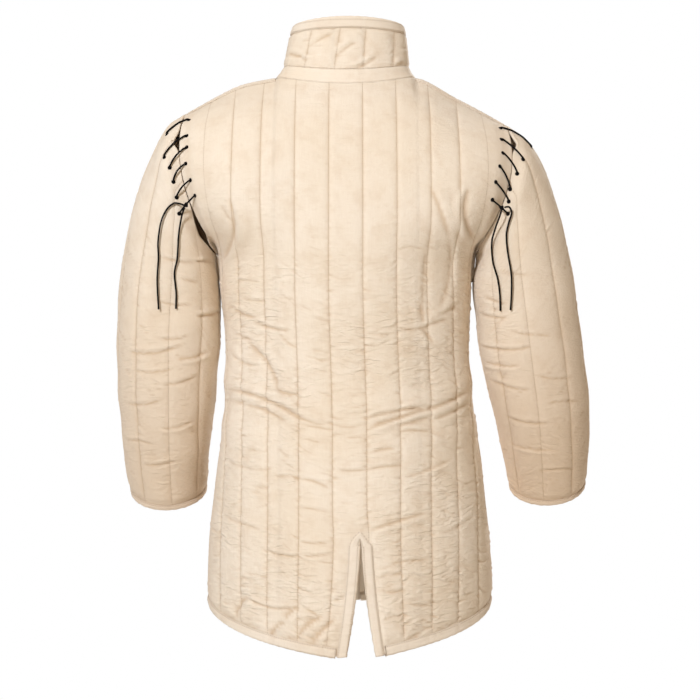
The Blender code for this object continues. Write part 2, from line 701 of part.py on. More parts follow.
class Sleeve:
    """One sleeve, as rings from its head to its cuff; column 0 is at the back."""

    def __init__(self, side):
        self.side = -1 if side == "left" else 1
        self.rows = np.array(SLEEVE_ROWS, float)
        count = SLEEVE_CHANNELS * 3
        steps = np.arange(count) * 360 / count
        net = [self.head(steps)]
        for ring, line in enumerate(SLEEVE_RINGS, 1):
            net.append(self.ring(steps, ring / len(SLEEVE_RINGS), line))
        points = np.einsum("rn,ncx->rcx", spline_weights(self.rows, len(net)), np.array(net))
        down = np.clip((self.rows - ARM_SPREAD_ROW) / (len(SLEEVE_RINGS) - ARM_SPREAD_ROW), 0, 1)
        points[..., 0] += self.side * ARM_SPREAD * down[:, None] ** 1.5
        if self.side > 0:
            cuff = np.clip((self.rows - RIGHT_CUFF_ROW) / (len(SLEEVE_RINGS) - RIGHT_CUFF_ROW), 0, 1)
            outward = np.clip((points[..., 0] - 300) / 80, -1, 1)
            points[..., 2] += RIGHT_CUFF_RISE * cuff[:, None] ** 2 * (0.5 + 0.5 * outward)
        points[..., 0] *= self.side
        self.base = worn(points)
        self.normals = grid_normals(self.base, inside_out=self.side < 0, closed=True)
        height = self.puff(steps)
        self.outer = self.base + self.normals * height[..., None]
        self.inner_rows = [SLEEVE_ROWS.index(row) for row in SLEEVE_INNER_ROWS]
        self.inner_columns = list(range(0, count, 3))
        inner = self.base - self.normals * WALL
        self.inner = between(inner, self.inner_rows, self.inner_columns, count)

    def turns(self, steps, share):
        """The angle of each column round the arm, wider apart at the back towards the cuff."""
        turn = np.radians(steps - 2 - 7 * share)
        return turn + 0.22 * share**2 * np.sin(turn)

    def head(self, steps):
        turn = np.degrees(self.turns(steps, 0.0))
        angle = (turn - 90 + 180) % 360 - 180
        gap = np.interp(np.abs(angle), [line[0] for line in HEAD_GAP], [line[1] for line in HEAD_GAP])
        return armhole(angle) + gap[:, None] * np.array([0.97, 0.0, -0.24])

    def ring(self, steps, share, line):
        outer_x, outer_z, inner_x, inner_z, y, depth, tilt, fullness = line
        turn = self.turns(steps, share)[:, None]
        outer, inner = np.array([outer_x, y, outer_z]), np.array([inner_x, y, inner_z])
        tilt = math.radians(tilt)
        front = depth * np.array([0.0, math.cos(tilt), math.sin(tilt)])
        full = np.where(np.cos(turn) > 0, fullness, fullness / 3) * np.cos(turn) ** 2
        middle = (outer + inner) / 2 + full * np.array([1.0, 0.0, 0.0])
        return middle + (outer - inner) / 2 * np.sin(turn) - front * np.cos(turn)

    def puff(self, steps):
        line = 360 / SLEEVE_CHANNELS
        off_line = np.where(np.abs((steps + line / 2) % line - line / 2) < 1, 0.0, 1.0)
        ends = ease(self.rows - 0.2) * ease((SLEEVE_ROWS[-2] - self.rows) / 0.8)
        pressed = np.clip(-np.sin(self.turns(steps, 0.5)), 0, 1) * (1 - ease((self.rows[:, None] - 5) / 2))
        return PUFF * ends[:, None] * off_line[None] * (1 - pressed)


def make_sleeves(cloth, tape, parts):
    sleeves = {}
    for side in ("left", "right"):
        sleeve = Sleeve(side)
        sleeves[side] = sleeve
        sleeve.solid = wall("sleeve_" + side, sleeve.outer, sleeve.inner, sleeve.inner_rows,
                            sleeve.inner_columns, cloth, parts, closed=True)
        cuff = len(SLEEVE_ROWS) - 1
        span = range(sleeve.base.shape[1])
        stations = edge_stations(sleeve, cuff, cuff - 1, True, span)
        binding("cuff_binding_" + side, stations, tape, parts, closed=True)
    return sleeves


# Collar ----------------------------------------------------------------------------------------


def neck_ring(back, left, right):
    """The neck edge from the left front round the back to the right front: outer and inner points,
    normals, and whether a quilting line starts there."""
    neck = int(np.argmin(np.abs(right.columns - (0.5 + NECK_HALF / QUILT_PITCH))))
    at_back = [i for i, c in enumerate(back.columns) if abs(c) <= right.columns[neck] + 1e-6]
    stations = [(left, i) for i in range(neck)] + [(back, i) for i in at_back]
    stations += [(right, i) for i in range(neck - 1, -1, -1)]
    ring = {"outer": [], "inner": [], "normal": [], "line": []}
    for panel, column in stations:
        ring["outer"].append(panel.outer[0, column])
        ring["inner"].append(panel.inner[0, column])
        ring["normal"].append(panel.normals[0, column])
        ring["line"].append(abs(abs(panel.columns[column]) % 1) < 1e-6)
    return {key: np.array(value) for key, value in ring.items()}


def collar_rings(ring, heights):
    """Rings of the collar's outer face at shares of its height."""
    x, y, z = (ring["outer"] - np.array([LEAN_TOP, 0, 0])).T
    back = COLLAR_TOP["side"] + (COLLAR_TOP["back"] - COLLAR_TOP["side"]) * (y / NECK_BACK) ** 2
    front = COLLAR_TOP["side"] + (COLLAR_TOP["front"] - COLLAR_TOP["side"]) * (y / NECK_FRONT) ** 2
    top = np.where(y < 0, back, front)
    size = np.interp(heights, [line[0] for line in COLLAR_PROFILE], [line[1] for line in COLLAR_PROFILE])
    points = [np.stack([x * f + LEAN_TOP + COLLAR_LEAN * h, y * f, z + h * (top - z)], axis=-1)
              for h, f in zip(heights, size)]
    return np.array(points)


class CollarPiece:
    """A stretch of the collar between two shares of its height."""

    def __init__(self, ring, heights, seated, height):
        self.base = collar_rings(ring, heights)
        self.normals = -grid_normals(self.base)
        self.outer = self.base + self.normals * height[..., None]
        self.inner_rows = list(range(len(heights)))
        self.inner_columns = list(range(len(ring["outer"])))
        inner = self.base - self.normals * COLLAR_WALL
        if seated:
            tangent = unit(np.gradient(ring["outer"], axis=0))
            rise = unit(np.cross(ring["normal"], tangent)) * SEAM_GAP
            self.outer[0], inner[0] = ring["outer"] + rise, ring["inner"] + rise
        self.inner = between(inner, self.inner_rows, self.inner_columns, inner.shape[1])


def make_collar(panels, cloth, tape, parts):
    ring = neck_ring(*panels)
    flat = np.zeros((len(BAND_HEIGHTS), len(ring["outer"])))
    band = CollarPiece(ring, BAND_HEIGHTS, True, flat)
    padding = np.where(ring["line"], 0.0, COLLAR_PUFF)
    fade = ease((np.array(COLLAR_HEIGHTS) - COLLAR_HEIGHTS[0]) / 0.12)
    fade *= ease((COLLAR_HEIGHTS[-2] - np.array(COLLAR_HEIGHTS)) / 0.1)
    collar = CollarPiece(ring, COLLAR_HEIGHTS, False, fade[:, None] * padding[None])
    for name, piece in (("collar_band", band), ("collar", collar)):
        wall(name, piece.outer, piece.inner, piece.inner_rows, piece.inner_columns, cloth, parts)
    top = len(COLLAR_HEIGHTS) - 1
    stations = edge_stations(collar, top, top - 1, True, range(len(ring["outer"])), (-TAPE, -TAPE))
    binding("collar_binding", stations, tape, parts)


# Laces -----------------------------------------------------------------------------------------


def seen_from_behind(solid, x, z):
    """The place where a solid's surface shows from behind at x and z."""
    start = Vector((x, BEHIND, z)) * MM
    return SURFACES[solid.name].ray_cast(start, Vector((0, 1, 0)))[0] / MM


class Eyelet:
    """A hole through a piece: a place on its outer face and the way out of it."""

    def __init__(self, solid, guess):
        tree = SURFACES[solid.name]
        place, normal, _, _ = tree.find_nearest(Vector(guess) * MM)
        through = tree.ray_cast(place - normal * MM, -normal)[3]
        self.solid = solid
        self.place = np.array(place) / MM
        self.normal = np.array(normal)
        self.depth = through / MM + 1


def remember_surface(solid):
    """Keeps a solid's surface, before it is drilled, for the laces to lie on."""
    graph = bpy.context.evaluated_depsgraph_get()
    SURFACES[solid.name] = BVHTree.FromObject(solid, graph)


def drill(eyelets, cutters):
    """Cuts the eyelets' holes through their solids."""
    by_solid = {}
    for eyelet in eyelets:
        by_solid.setdefault(eyelet.solid, []).append(eyelet)
    for solid, holes in by_solid.items():
        mesh_data = bmesh.new()
        for eyelet in holes:
            turn = Vector(eyelet.normal).to_track_quat("Z", "Y").to_matrix().to_4x4()
            turn.translation = Vector(eyelet.place) * MM
            bmesh.ops.create_cone(mesh_data, segments=6, radius1=EYELET_HOLE * MM, cap_ends=True,
                                  radius2=EYELET_HOLE * MM, depth=DRILL_DEPTH * MM, matrix=turn)
        mesh = bpy.data.meshes.new("eyelet_holes_" + solid.name)
        mesh_data.to_mesh(mesh)
        mesh_data.free()
        cutter = bpy.data.objects.new(mesh.name, mesh)
        cutters.objects.link(cutter)
        cutter.hide_render = True
        cutter.display_type = "WIRE"
        cut = solid.modifiers.new("eyelets", "BOOLEAN")
        cut.operation = "DIFFERENCE"
        cut.solver = "EXACT"
        cut.object = cutter


def is_clear(points, solids):
    """Whether a lace along these points clears every solid near it."""
    need = (LACE_RADIUS + LACE_NEAR) * MM
    for start, end in zip(points, points[1:]):
        for share in np.linspace(0, 1, LACE_SAMPLES):
            place = Vector(start + (end - start) * share) * MM
            for solid in solids:
                near, normal, _, distance = SURFACES[solid.name].find_nearest(place)
                if distance < need or (place - near).dot(normal) < 0:
                    return False
    return True


def run(start, end, outside, solids):
    """The lace from one eyelet to another over the outside or the inside, bowed just clear."""
    sign = 1 if outside else -1
    way = unit(end.place - start.place)
    for bow in np.arange(0, MAX_BOW, 0.5):
        points = []
        for share in OUTSIDE_SHARES if outside else INSIDE_SHARES:
            depth = 0 if outside else start.depth * (1 - share) + end.depth * share
            off = depth + LACE_RADIUS + LACE_CLEAR + bow * math.sin(math.pi * share)
            normal = unit(start.normal * (1 - share) + end.normal * share)
            place = start.place * (1 - share) + end.place * share + sign * normal * off
            corner = CORNER * ((share == 0) - (share == 1)) if outside else 0
            points.append(place + way * corner)
        if is_clear(points, solids):
            return points
    return points


def lacing(name, pairs, solids, shade, parts):
    """A spiral lacing: over the outside from the first eyelet of each pair to its second, and
    back inside to the next pair."""
    first = pairs[0][0]
    route = [first.place - first.normal * (first.depth + STUB), first.place + first.normal * RIM]
    for index, (start, end) in enumerate(pairs):
        if index:
            route.append(start.place + start.normal * RIM)
        route += run(start, end, True, solids)
        route.append(end.place + end.normal * RIM)
        if index < len(pairs) - 1:
            route += run(end, pairs[index + 1][0], False, solids)
        else:
            route.append(end.place - end.normal * (end.depth + STUB))
    tube(name, route, shade, parts, 1)
    return route[2:2 + len(OUTSIDE_SHARES)]


def knot(name, first_stitch, shade, parts):
    """A knot as a lump that sits on the straight middle of a stitch."""
    _, start, end, _ = first_stitch
    along = unit(end - start)
    up = unit(np.cross(along, np.cross(OUTWARD, along)))
    centre = (start + end) / 2 + up * (LACE_RADIUS + SEAM_GAP + KNOT_SIZE[2])
    turn = Matrix([along, np.cross(up, along), up]).transposed().to_4x4()
    turn.translation = centre
    mesh_data = bmesh.new()
    bmesh.ops.create_icosphere(mesh_data, subdivisions=2, radius=1.0)
    bmesh.ops.scale(mesh_data, vec=KNOT_SIZE, verts=mesh_data.verts)
    bmesh.ops.transform(mesh_data, matrix=turn, verts=mesh_data.verts)
    return finish(name, mesh_data, shade, parts)


def smooth_route(points, step):
    """Points every `step` along a smooth curve through the route's own points."""
    points = np.array(points, float)
    fine = spline_weights(np.linspace(0, len(points) - 1, 400), len(points)) @ points
    arc = np.concatenate([[0], np.cumsum(np.linalg.norm(np.diff(fine, axis=0), axis=1))])
    places = np.linspace(0, arc[-1], round(arc[-1] / step) + 1)
    return np.stack([np.interp(places, arc, fine[:, axis]) for axis in range(3)], axis=-1)


def panel_guess(panel, side, angle):
    """A place on a panel, an eyelet's inset from its armhole."""
    angles = [0] + [line[0] for line in UPPER_SECTIONS] + [180]
    row = np.interp(abs(angle), angles, range(len(angles)))
    at = np.interp(row, panel.rows, range(len(panel.rows)))
    low, share = int(at), at - int(at)
    line = panel.outer[low] * (1 - share) + panel.outer[low + 1] * share
    if line[0][0] * side > line[-1][0] * side:
        line = line[::-1]
    arc = np.concatenate([[0], np.cumsum(np.linalg.norm(np.diff(line[::-1], axis=0), axis=1))])
    return np.array([np.interp(EYELET_INSET, arc, line[::-1, axis]) for axis in range(3)])


def sleeve_guess(sleeve, angle):
    """A place on a sleeve, an eyelet's inset from its head."""
    count = sleeve.base.shape[1]
    at = ((angle + 90 + 2) % 360) / 360 * count
    low, share = int(at) % count, at % 1
    line = sleeve.outer[:, low] * (1 - share) + sleeve.outer[:, (low + 1) % count] * share
    arc = np.concatenate([[0], np.cumsum(np.linalg.norm(np.diff(line, axis=0), axis=1))])
    return np.array([np.interp(EYELET_INSET, arc, line[:, axis]) for axis in range(3)])


def make_laces(panels, sleeves, solids, black, parts, cutters):
    back, left, right = panels
    eyelets = []
    for side, sign, front in (("left", -1, left), ("right", 1, right)):
        sleeve, arm = sleeves[side], solids["sleeve_" + side]
        pairs = []
        for sleeve_x, sleeve_z, body_x, body_z in BACK_EYELETS[side]:
            body = Eyelet(solids["back"], seen_from_behind(solids["back"], body_x, body_z))
            pairs.append((Eyelet(arm, seen_from_behind(arm, sleeve_x, sleeve_z)), body))
        for at_body, at_sleeve in FRONT_EYELETS:
            body = Eyelet(solids["front_" + side], panel_guess(front, sign, at_body))
            pairs.append((Eyelet(arm, sleeve_guess(sleeve, at_sleeve)), body))
        eyelets += [eyelet for pair in pairs for eyelet in pair]
        near = [solids["back"], solids["front_" + side], arm, solids["shoulder_tape_" + side]]
        first_stitch = lacing("lacing_" + side, pairs, near, black, parts)
        knot("knot_" + side, first_stitch, black, parts)
    for name, route in LACE_ENDS.items():
        tube("lace_end_" + name, smooth_route(route, LACE_END_STEP), black, parts, 2)
    pairs = []
    for row in FRONT_LACE_ROWS:
        pair = []
        for panel, name in ((left, "front_left"), (right, "front_right")):
            at = np.interp(row, panel.rows, range(len(panel.rows)))
            line = panel.outer[int(at)] * (1 - at % 1) + panel.outer[int(at) + 1] * (at % 1)
            pair.append(Eyelet(solids[name], line[1] + (line[2] - line[1]) * FRONT_EYELET_SHARE))
        eyelets += pair
        pairs.append(pair)
    near = [solids[name] for name in ("front_left", "front_right", "front_binding_left",
                                      "front_binding_right")]
    lacing("lacing_front", pairs, near, black, parts)
    drill(eyelets, cutters)


def main():
    clear_scene()
    parts = make_collection(PART_NAME)
    cutters = make_collection("cutters")
    cloth = material("cream_cotton", CREAM, 0.9)
    tape = material("cotton_tape", CREAM, 0.85)
    black = material("black_lace", BLACK, 0.7)
    back, left, right = make_panels()
    for name, panel in (("back", back), ("front_left", left), ("front_right", right)):
        cut = vent_cut(panel) if name == "back" else None
        wall(name, panel.outer, panel.inner, panel.inner_rows, panel.inner_columns, cloth, parts,
             cut=cut)
    make_body_bindings(back, left, right, tape, parts)
    make_collar((back, left, right), cloth, tape, parts)
    sleeves = make_sleeves(cloth, tape, parts)
    solids = {solid.name: solid for solid in parts.objects}
    for solid in solids.values():
        remember_surface(solid)
    make_laces((back, left, right), sleeves, solids, black, parts, cutters)


main()
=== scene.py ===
"""The looks of a quilted gambeson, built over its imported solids.

The frame is the part's own: +Z up, the wearer faces +Y, +X is the wearer's right. The stitched
surface comes from the same sizes as the solids, in millimetres, at a finer pitch, and every mesh
is scaled to metres as it is made.
"""

import math

import bmesh
import bpy
import numpy as np
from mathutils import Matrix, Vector
from mathutils.bvhtree import BVHTree


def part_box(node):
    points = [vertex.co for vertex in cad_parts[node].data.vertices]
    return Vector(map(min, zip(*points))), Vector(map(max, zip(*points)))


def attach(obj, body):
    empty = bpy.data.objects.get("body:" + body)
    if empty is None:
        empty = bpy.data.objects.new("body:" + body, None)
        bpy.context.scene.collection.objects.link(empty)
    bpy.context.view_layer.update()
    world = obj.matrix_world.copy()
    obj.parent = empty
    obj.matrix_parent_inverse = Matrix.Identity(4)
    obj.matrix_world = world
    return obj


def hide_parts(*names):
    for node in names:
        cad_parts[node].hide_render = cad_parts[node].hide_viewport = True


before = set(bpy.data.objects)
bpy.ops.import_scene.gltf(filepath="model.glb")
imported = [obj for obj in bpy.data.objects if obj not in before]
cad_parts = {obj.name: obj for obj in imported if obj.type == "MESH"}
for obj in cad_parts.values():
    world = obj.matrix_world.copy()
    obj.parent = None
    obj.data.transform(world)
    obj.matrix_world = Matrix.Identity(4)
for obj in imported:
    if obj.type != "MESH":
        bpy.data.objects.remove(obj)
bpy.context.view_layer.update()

MM = 0.001
BODY = "root"

# The view of the photograph.
CAMERA = (0.0, -2.6, -0.4165)
LENS = 83.57
SHIFT = 1 / 700

# The studio, in metres.
FLOOR_RADIUS = 6.0
FLOOR_HEIGHT = -2.3
WHITE_AHEAD = (0.3, 0.8)  # how far ahead of the camera the world turns white
LIT_PLACE = (0, 0, -0.4)
LIGHTS = (
    # name, place, size, power, colour
    ("key", (-1.5, -3.45, 1.35), 0.45, 147, (0.93, 1.015, 1.15)),
    ("fill", (1.9, -3.0, 0.1), 2.4, 14, (1.0, 0.8, 0.58)),
    ("front", (2.0, 4.2, 1.1), 0.8, 150, (0.97, 1.0, 1.04)),
    ("top", (-0.2, 0.1, 2.4), 1.2, 8, (1.0, 0.99, 0.97)),
)

# Cloth and sewing.
WALL = 5.0  # from the stitched surface to the inside
PUFF = 1.98  # how far a channel's padding stands out
CROWN = 0.4  # how much fuller a channel is along its middle
LIFT = 0.7  # how far the padding stands out even at a stitched line
LINING_PUFF = 1.0  # how far the padding stands out inside
VALLEY = 11.0  # how wide the padding falls away beside a stitched line
QUILT_PITCH = 52.0  # between the body's stitched lines
SLEEVE_PITCH = 43.0  # the same for the sleeves
COLLAR_PITCH = 46.0  # and for the collar
SEAM_GAP = 0.3  # between two pieces that are sewn together
TAPE = 1.2  # a folded tape's thickness
TAPE_PITCH = 12.0  # of a tape for each whole step of its map
STITCH = 3.8  # from one stitch to the next
LACE_RADIUS = 1.4

# Neck and shoulders.
NECK_HALF = 112.0
NECK_BACK = 66.0
NECK_FRONT = 78.0
NECK_SIDE_RISE = 18.0
NECK_FRONT_DROP = 50.0
SHOULDER_CURVE = 1.3
FRONT_EDGE = 4.8  # from the middle to the edge of each front
NECK_COLUMN = 0.5 + NECK_HALF / QUILT_PITCH

# The armhole, a leaning loop that is fuller at the back.
ARMHOLE = {"x": 228.0, "z": -155.0, "lean": 25.0, "half_height": 107.0, "half_depth": 88.0}
ARMHOLE_FULLNESS = {"back": 25.0, "front": 8.0}

# Collar.
COLLAR_TOP = {"back": 105.0, "side": 99.0, "front": 52.0}
COLLAR_PUFF = 2.0
COLLAR_PROFILE = (
    # share of the height, share of the neck's size
    (0, 1), (0.1, 0.935), (0.22, 0.89), (0.5, 0.857), (0.84, 0.82), (1, 0.78),
)
BAND_TOP = 0.218
COLLAR_BOTTOM = 0.222
COLLAR_TAPE = 0.84

# The vent.
VENT_LEFT = 9.0
VENT_RIGHT = 17.0
VENT_MIDDLE = (VENT_LEFT + VENT_RIGHT) / 2
VENT_SPREAD = 17.0  # how far each tail swings out at the hem
VENT_REACH = 55.0  # how far from the vent the cloth swings with it
VENT_ASIDE = 4.2  # how far the slit is drawn to the right
VENT_WIDENED = 3.4  # how much further each tail is moved out at the hem
VENT_PINCHED = 0.9  # how much narrower the slit is at its very top
VENT_TAPE_SIDES = (-5.0, 31.7)  # how far from the slit its bindings reach
VENT_ABOVE = 25.0  # how far above the slit the cloth moves with it
VENT_BESIDE = 32.0  # how far beside the slit the cloth is drawn with it

# How the worn garment leans.
LEAN_TOP = -5.0
LEAN_HEM = 1.0
LEAN_SPAN = (-300.0, -560.0)  # the heights between which the lean changes
SHOULDER_SPAN = (70.0, 270.0, 80.0)  # how far past the neck the shift is full, where it fades, over how much
SHOULDER_HEIGHTS = (-260.0, -60.0)  # between which a shoulder's shift grows from none to full
LEFT_SHOULDER_LIFT = 9.0
RIGHT_SHOULDER_DROP = 9.0
COLLAR_LEAN = 4.0
ARM_SPREAD = 14.0
ARM_SPREAD_ROW = 5
RIGHT_CUFF_RISE = 12.0
RIGHT_CUFF_ROW = 9

UPPER_SECTIONS = (
    # armhole angle, back z, back depth, front z, front depth, turn at the armhole
    (28, -30, 87, -78, 92, 10),
    (52, -66, 108, -105, 108, 20),
    (73, -110, 127, -135, 120, 30),
    (92, -155, 137, -168, 128, 40),
    (112, -198, 141, -202, 131, 52),
    (138, -234, 142, -236, 131, 68),
)
LOWER_SECTIONS = (
    # back z, side z, half width, back depth, front depth
    (-266, -262, 203.0, 141, 130),
    (-330, -322, 198.0, 134, 127),
    (-400, -385, 193.0, 125, 124),
    (-470, -450, 192.0, 123, 125),
    (-540, -516, 197.0, 133, 132),
    (-610, -580, 206.0, 148, 141),
    (-680, -643, 214.5, 160, 149),
    (-750, -706, 221.5, 168, 155),
    (-815, -764, 224.5, 172, 159),
    (-875, -815, 224.5, 174, 162),
)
FRONT_HEM_SHARE = 0.4

SLEEVE_CHANNELS = 10
SLEEVE_RINGS = (
    # outer x, outer z, inner x, inner z, y, half depth, tilt, fullness at the back
    (277.0, -65, 208.0, -274, 0, 90, 0, 22),
    (293.0, -84, 207.0, -284, 0, 91, 0, 17),
    (308.0, -111, 207.0, -298, 0, 90, 0, 12),
    (324.0, -149, 207.0, -316, 0, 89, 0, 8),
    (338.0, -195, 208.0, -338, 0, 88, 0, 4),
    (350.0, -250, 208.5, -366, 0, 86, 0, 1),
    (361.0, -312, 209.0, -400, 0, 84, 0, 0),
    (368.0, -375, 213.0, -438, 4, 81, 4, 0),
    (372.5, -435, 220.0, -478, 12, 78, 11, 0),
    (376.5, -492, 228.0, -518, 25, 74, 18, 0),
    (377.0, -545, 236.0, -558, 42, 70, 23, 0),
    (375.5, -597, 244.0, -601, 62, 65, 26, 0),
    (372.7, -645, 251.6, -645, 84, 61, 28, 0),
)
HEAD_GAP = {
    # armhole angle, negative at the back; gap
    "left": ((-180, 5), (-152, 6), (-138, 9), (-126, 5), (-116, 0.5), (-110, -0.4), (-72, -0.4), (-67, 1.5),
             (-62, 7), (-57, 14), (-52, 9), (-46, 3), (-30, 3), (0, 4), (15, 5), (28, 1), (36, -0.4),
             (120, -0.4), (140, 5), (180, 5)),
    "right": ((-180, 5), (-165, 4), (-140, -0.2), (-64, -0.4), (-58, 2), (-51, 8), (-45, 11), (-39, 6),
              (-30, 3), (0, 4), (15, 5), (28, 1), (36, -0.4), (120, -0.4), (140, 5), (180, 5)),
}

ROW_HEIGHT = 66.0  # about what lies between two of the lower sections

WAIST_FOLDS = (
    # middle z, rise at the sides, ridge half width, height
    (-508, 45, 20, 3.0),
    (-574, 40, 20, 2.5),
)

SMOOTHED = 170  # how often the body's form is evened out below the shoulder blades
INNER_STEP = 4  # outer rows for each inner one
EDGE_ROUNDED = 2.2  # how far in from a free edge the wall's two faces draw together
FAR = 1000.0  # away from any vent or edge

# How far each ring of a sleeve is pressed to the body, under the arm.
ARM_PRESSED = {"left": (0, 0, 0, 3, 4.5, 7, 6, 2.5, 0), "right": (0, 0, 0, 3, 4.5, 4.5, 1.5, 0, 0)}

VENT_ARCH = (
    # outer side, outer row, inner side, inner row, from the left leg over the top to the right
    (-5.2, 8, 8.4, 8),
    (-4.8, 4.5, 8.5, 6),
    (-2, 0.8, 9.0, 4.2),
    (4.5, -2.4, 9.9, 2.6),
    (11, -4.6, 11, 1.8),
    (16.5, -2.4, 12.1, 2.6),
    (22, 0.8, 13.0, 4.2),
    (27, 4.5, 13.5, 6),
    (29.5, 8, 13.6, 8),
)

# Mesh lines. A channel's columns crowd beside its stitched lines.
CHANNEL = (0, 0.03, 0.065, 0.11, 0.17, 0.25, 0.35, 0.45, 0.55, 0.65, 0.75, 0.83, 0.89, 0.935, 0.97)
MIDDLE_SIDES = (-24.4, -22.5, -20, -16, -11, -5, -1, 3, 7, 9, 13, 17, 18.5, 20.5, 22.5, 24.5)
VENT_ROW = 13.26
TAPE_ROW = 15.79
HEM_ROW = 16
UNDERARM_ROW = 7
SIDE_COLUMN = 6
LAST_LINE = 5
CUFF_ROW = 12.86

# Eyelets and laces, as in the solids.
LACE_NEAR = 0.1  # between a lace and what it lies on
LACE_REACH = 34.0  # how far off a lace's straight line the cloth is looked for
LACE_SAMPLES = 26  # places along each stitch
RING_REACH = 4.0  # how far from an eyelet its sewn ring still lifts the lace
RING_HEIGHT = 0.8
RIM = 2.0  # how far the lace stands off an eyelet where it turns in
STUB = 5.0  # how far the lace's two ends go on inside
EYELET_INSET = 12.0  # from the edge of the armhole
BEHIND = -400.0  # a place behind the whole garment
FRONT_EYELET_SHARE = 0.9  # of the way from the front's tape to its first stitched line
BACK_EYELETS = {
    "left": (
        # on the sleeve: x, z; on the back: x, z
        (-262, -206, -237, -179),
        (-266, -181, -244, -155),
        (-271, -157, -252, -129),
        (-277, -135, -251, -103),
        (-286, -118, -252, -84),
        (-285, -79, -251, -56),
    ),
    "right": (
        (246, -206, 220, -186),
        (247, -187, 225, -159),
        (249, -168, 232, -134),
        (260, -144, 238, -112),
        (270, -121, 237, -89),
        (287, -97, 238, -68),
    ),
}
FRONT_EYELETS = (
    # armhole angle of the eyelet in the front, and of the eyelet in the sleeve
    (30, 44), (50, 62), (70, 80), (90, 99), (108, 116),
)
LACE_BOWS = {
    # how far each stitch swings up, across the cloth
    "left": (1.0, 3.0, 4.2, 4.0, 5.5, 5.0, 3.0, 2.0, 2.5, 1.5, 2.0),
    "right": (0.5, 1.5, 2.2, 2.6, 3.2, 4.5, 3.0, 2.5, 1.5, 2.5, 1.5),
    "front": (1.0, -1.5, 1.2, 0.8, -1.0, 1.5),
}
FRONT_LACE_ROWS = (1.2, 2.9, 4.6, 6.2, 7.6, 9.0)

# The free lace ends' routes, in metres, as in the solids.
LACE_ENDS = {
    "left_outer": (
        (-0.2552, -0.0997, -0.1931), (-0.262, -0.098, -0.191), (-0.270, -0.0965, -0.1905),
        (-0.281, -0.0955, -0.200), (-0.290, -0.0945, -0.220), (-0.2945, -0.094, -0.250),
        (-0.294, -0.0935, -0.275), (-0.296, -0.0925, -0.310), (-0.294, -0.091, -0.353),
    ),
    "left_inner": (
        (-0.2529, -0.1013, -0.198), (-0.2565, -0.100, -0.207), (-0.260, -0.096, -0.222),
        (-0.263, -0.0935, -0.242), (-0.265, -0.0925, -0.275), (-0.2695, -0.091, -0.298),
        (-0.267, -0.0895, -0.329), (-0.2675, -0.0885, -0.352),
    ),
    "right_outer": (
        (0.2395, -0.102, -0.1971), (0.2465, -0.099, -0.1965), (0.2505, -0.096, -0.205),
        (0.2465, -0.0935, -0.220), (0.243, -0.0915, -0.238), (0.245, -0.0905, -0.265),
        (0.2505, -0.091, -0.299), (0.251, -0.089, -0.329), (0.250, -0.0865, -0.354),
    ),
    "right_inner": (
        (0.2342, -0.1024, -0.2024), (0.2315, -0.0985, -0.212), (0.2265, -0.086, -0.228),
        (0.222, -0.0745, -0.249), (0.2235, -0.0735, -0.278), (0.2305, -0.078, -0.305),
        (0.234, -0.0785, -0.330), (0.235, -0.0775, -0.355),
    ),
}
LACE_END_STEP = 8.4  # between the points of a declared route
LACE_TAPER = 4.0  # of a free end that is drawn thinner

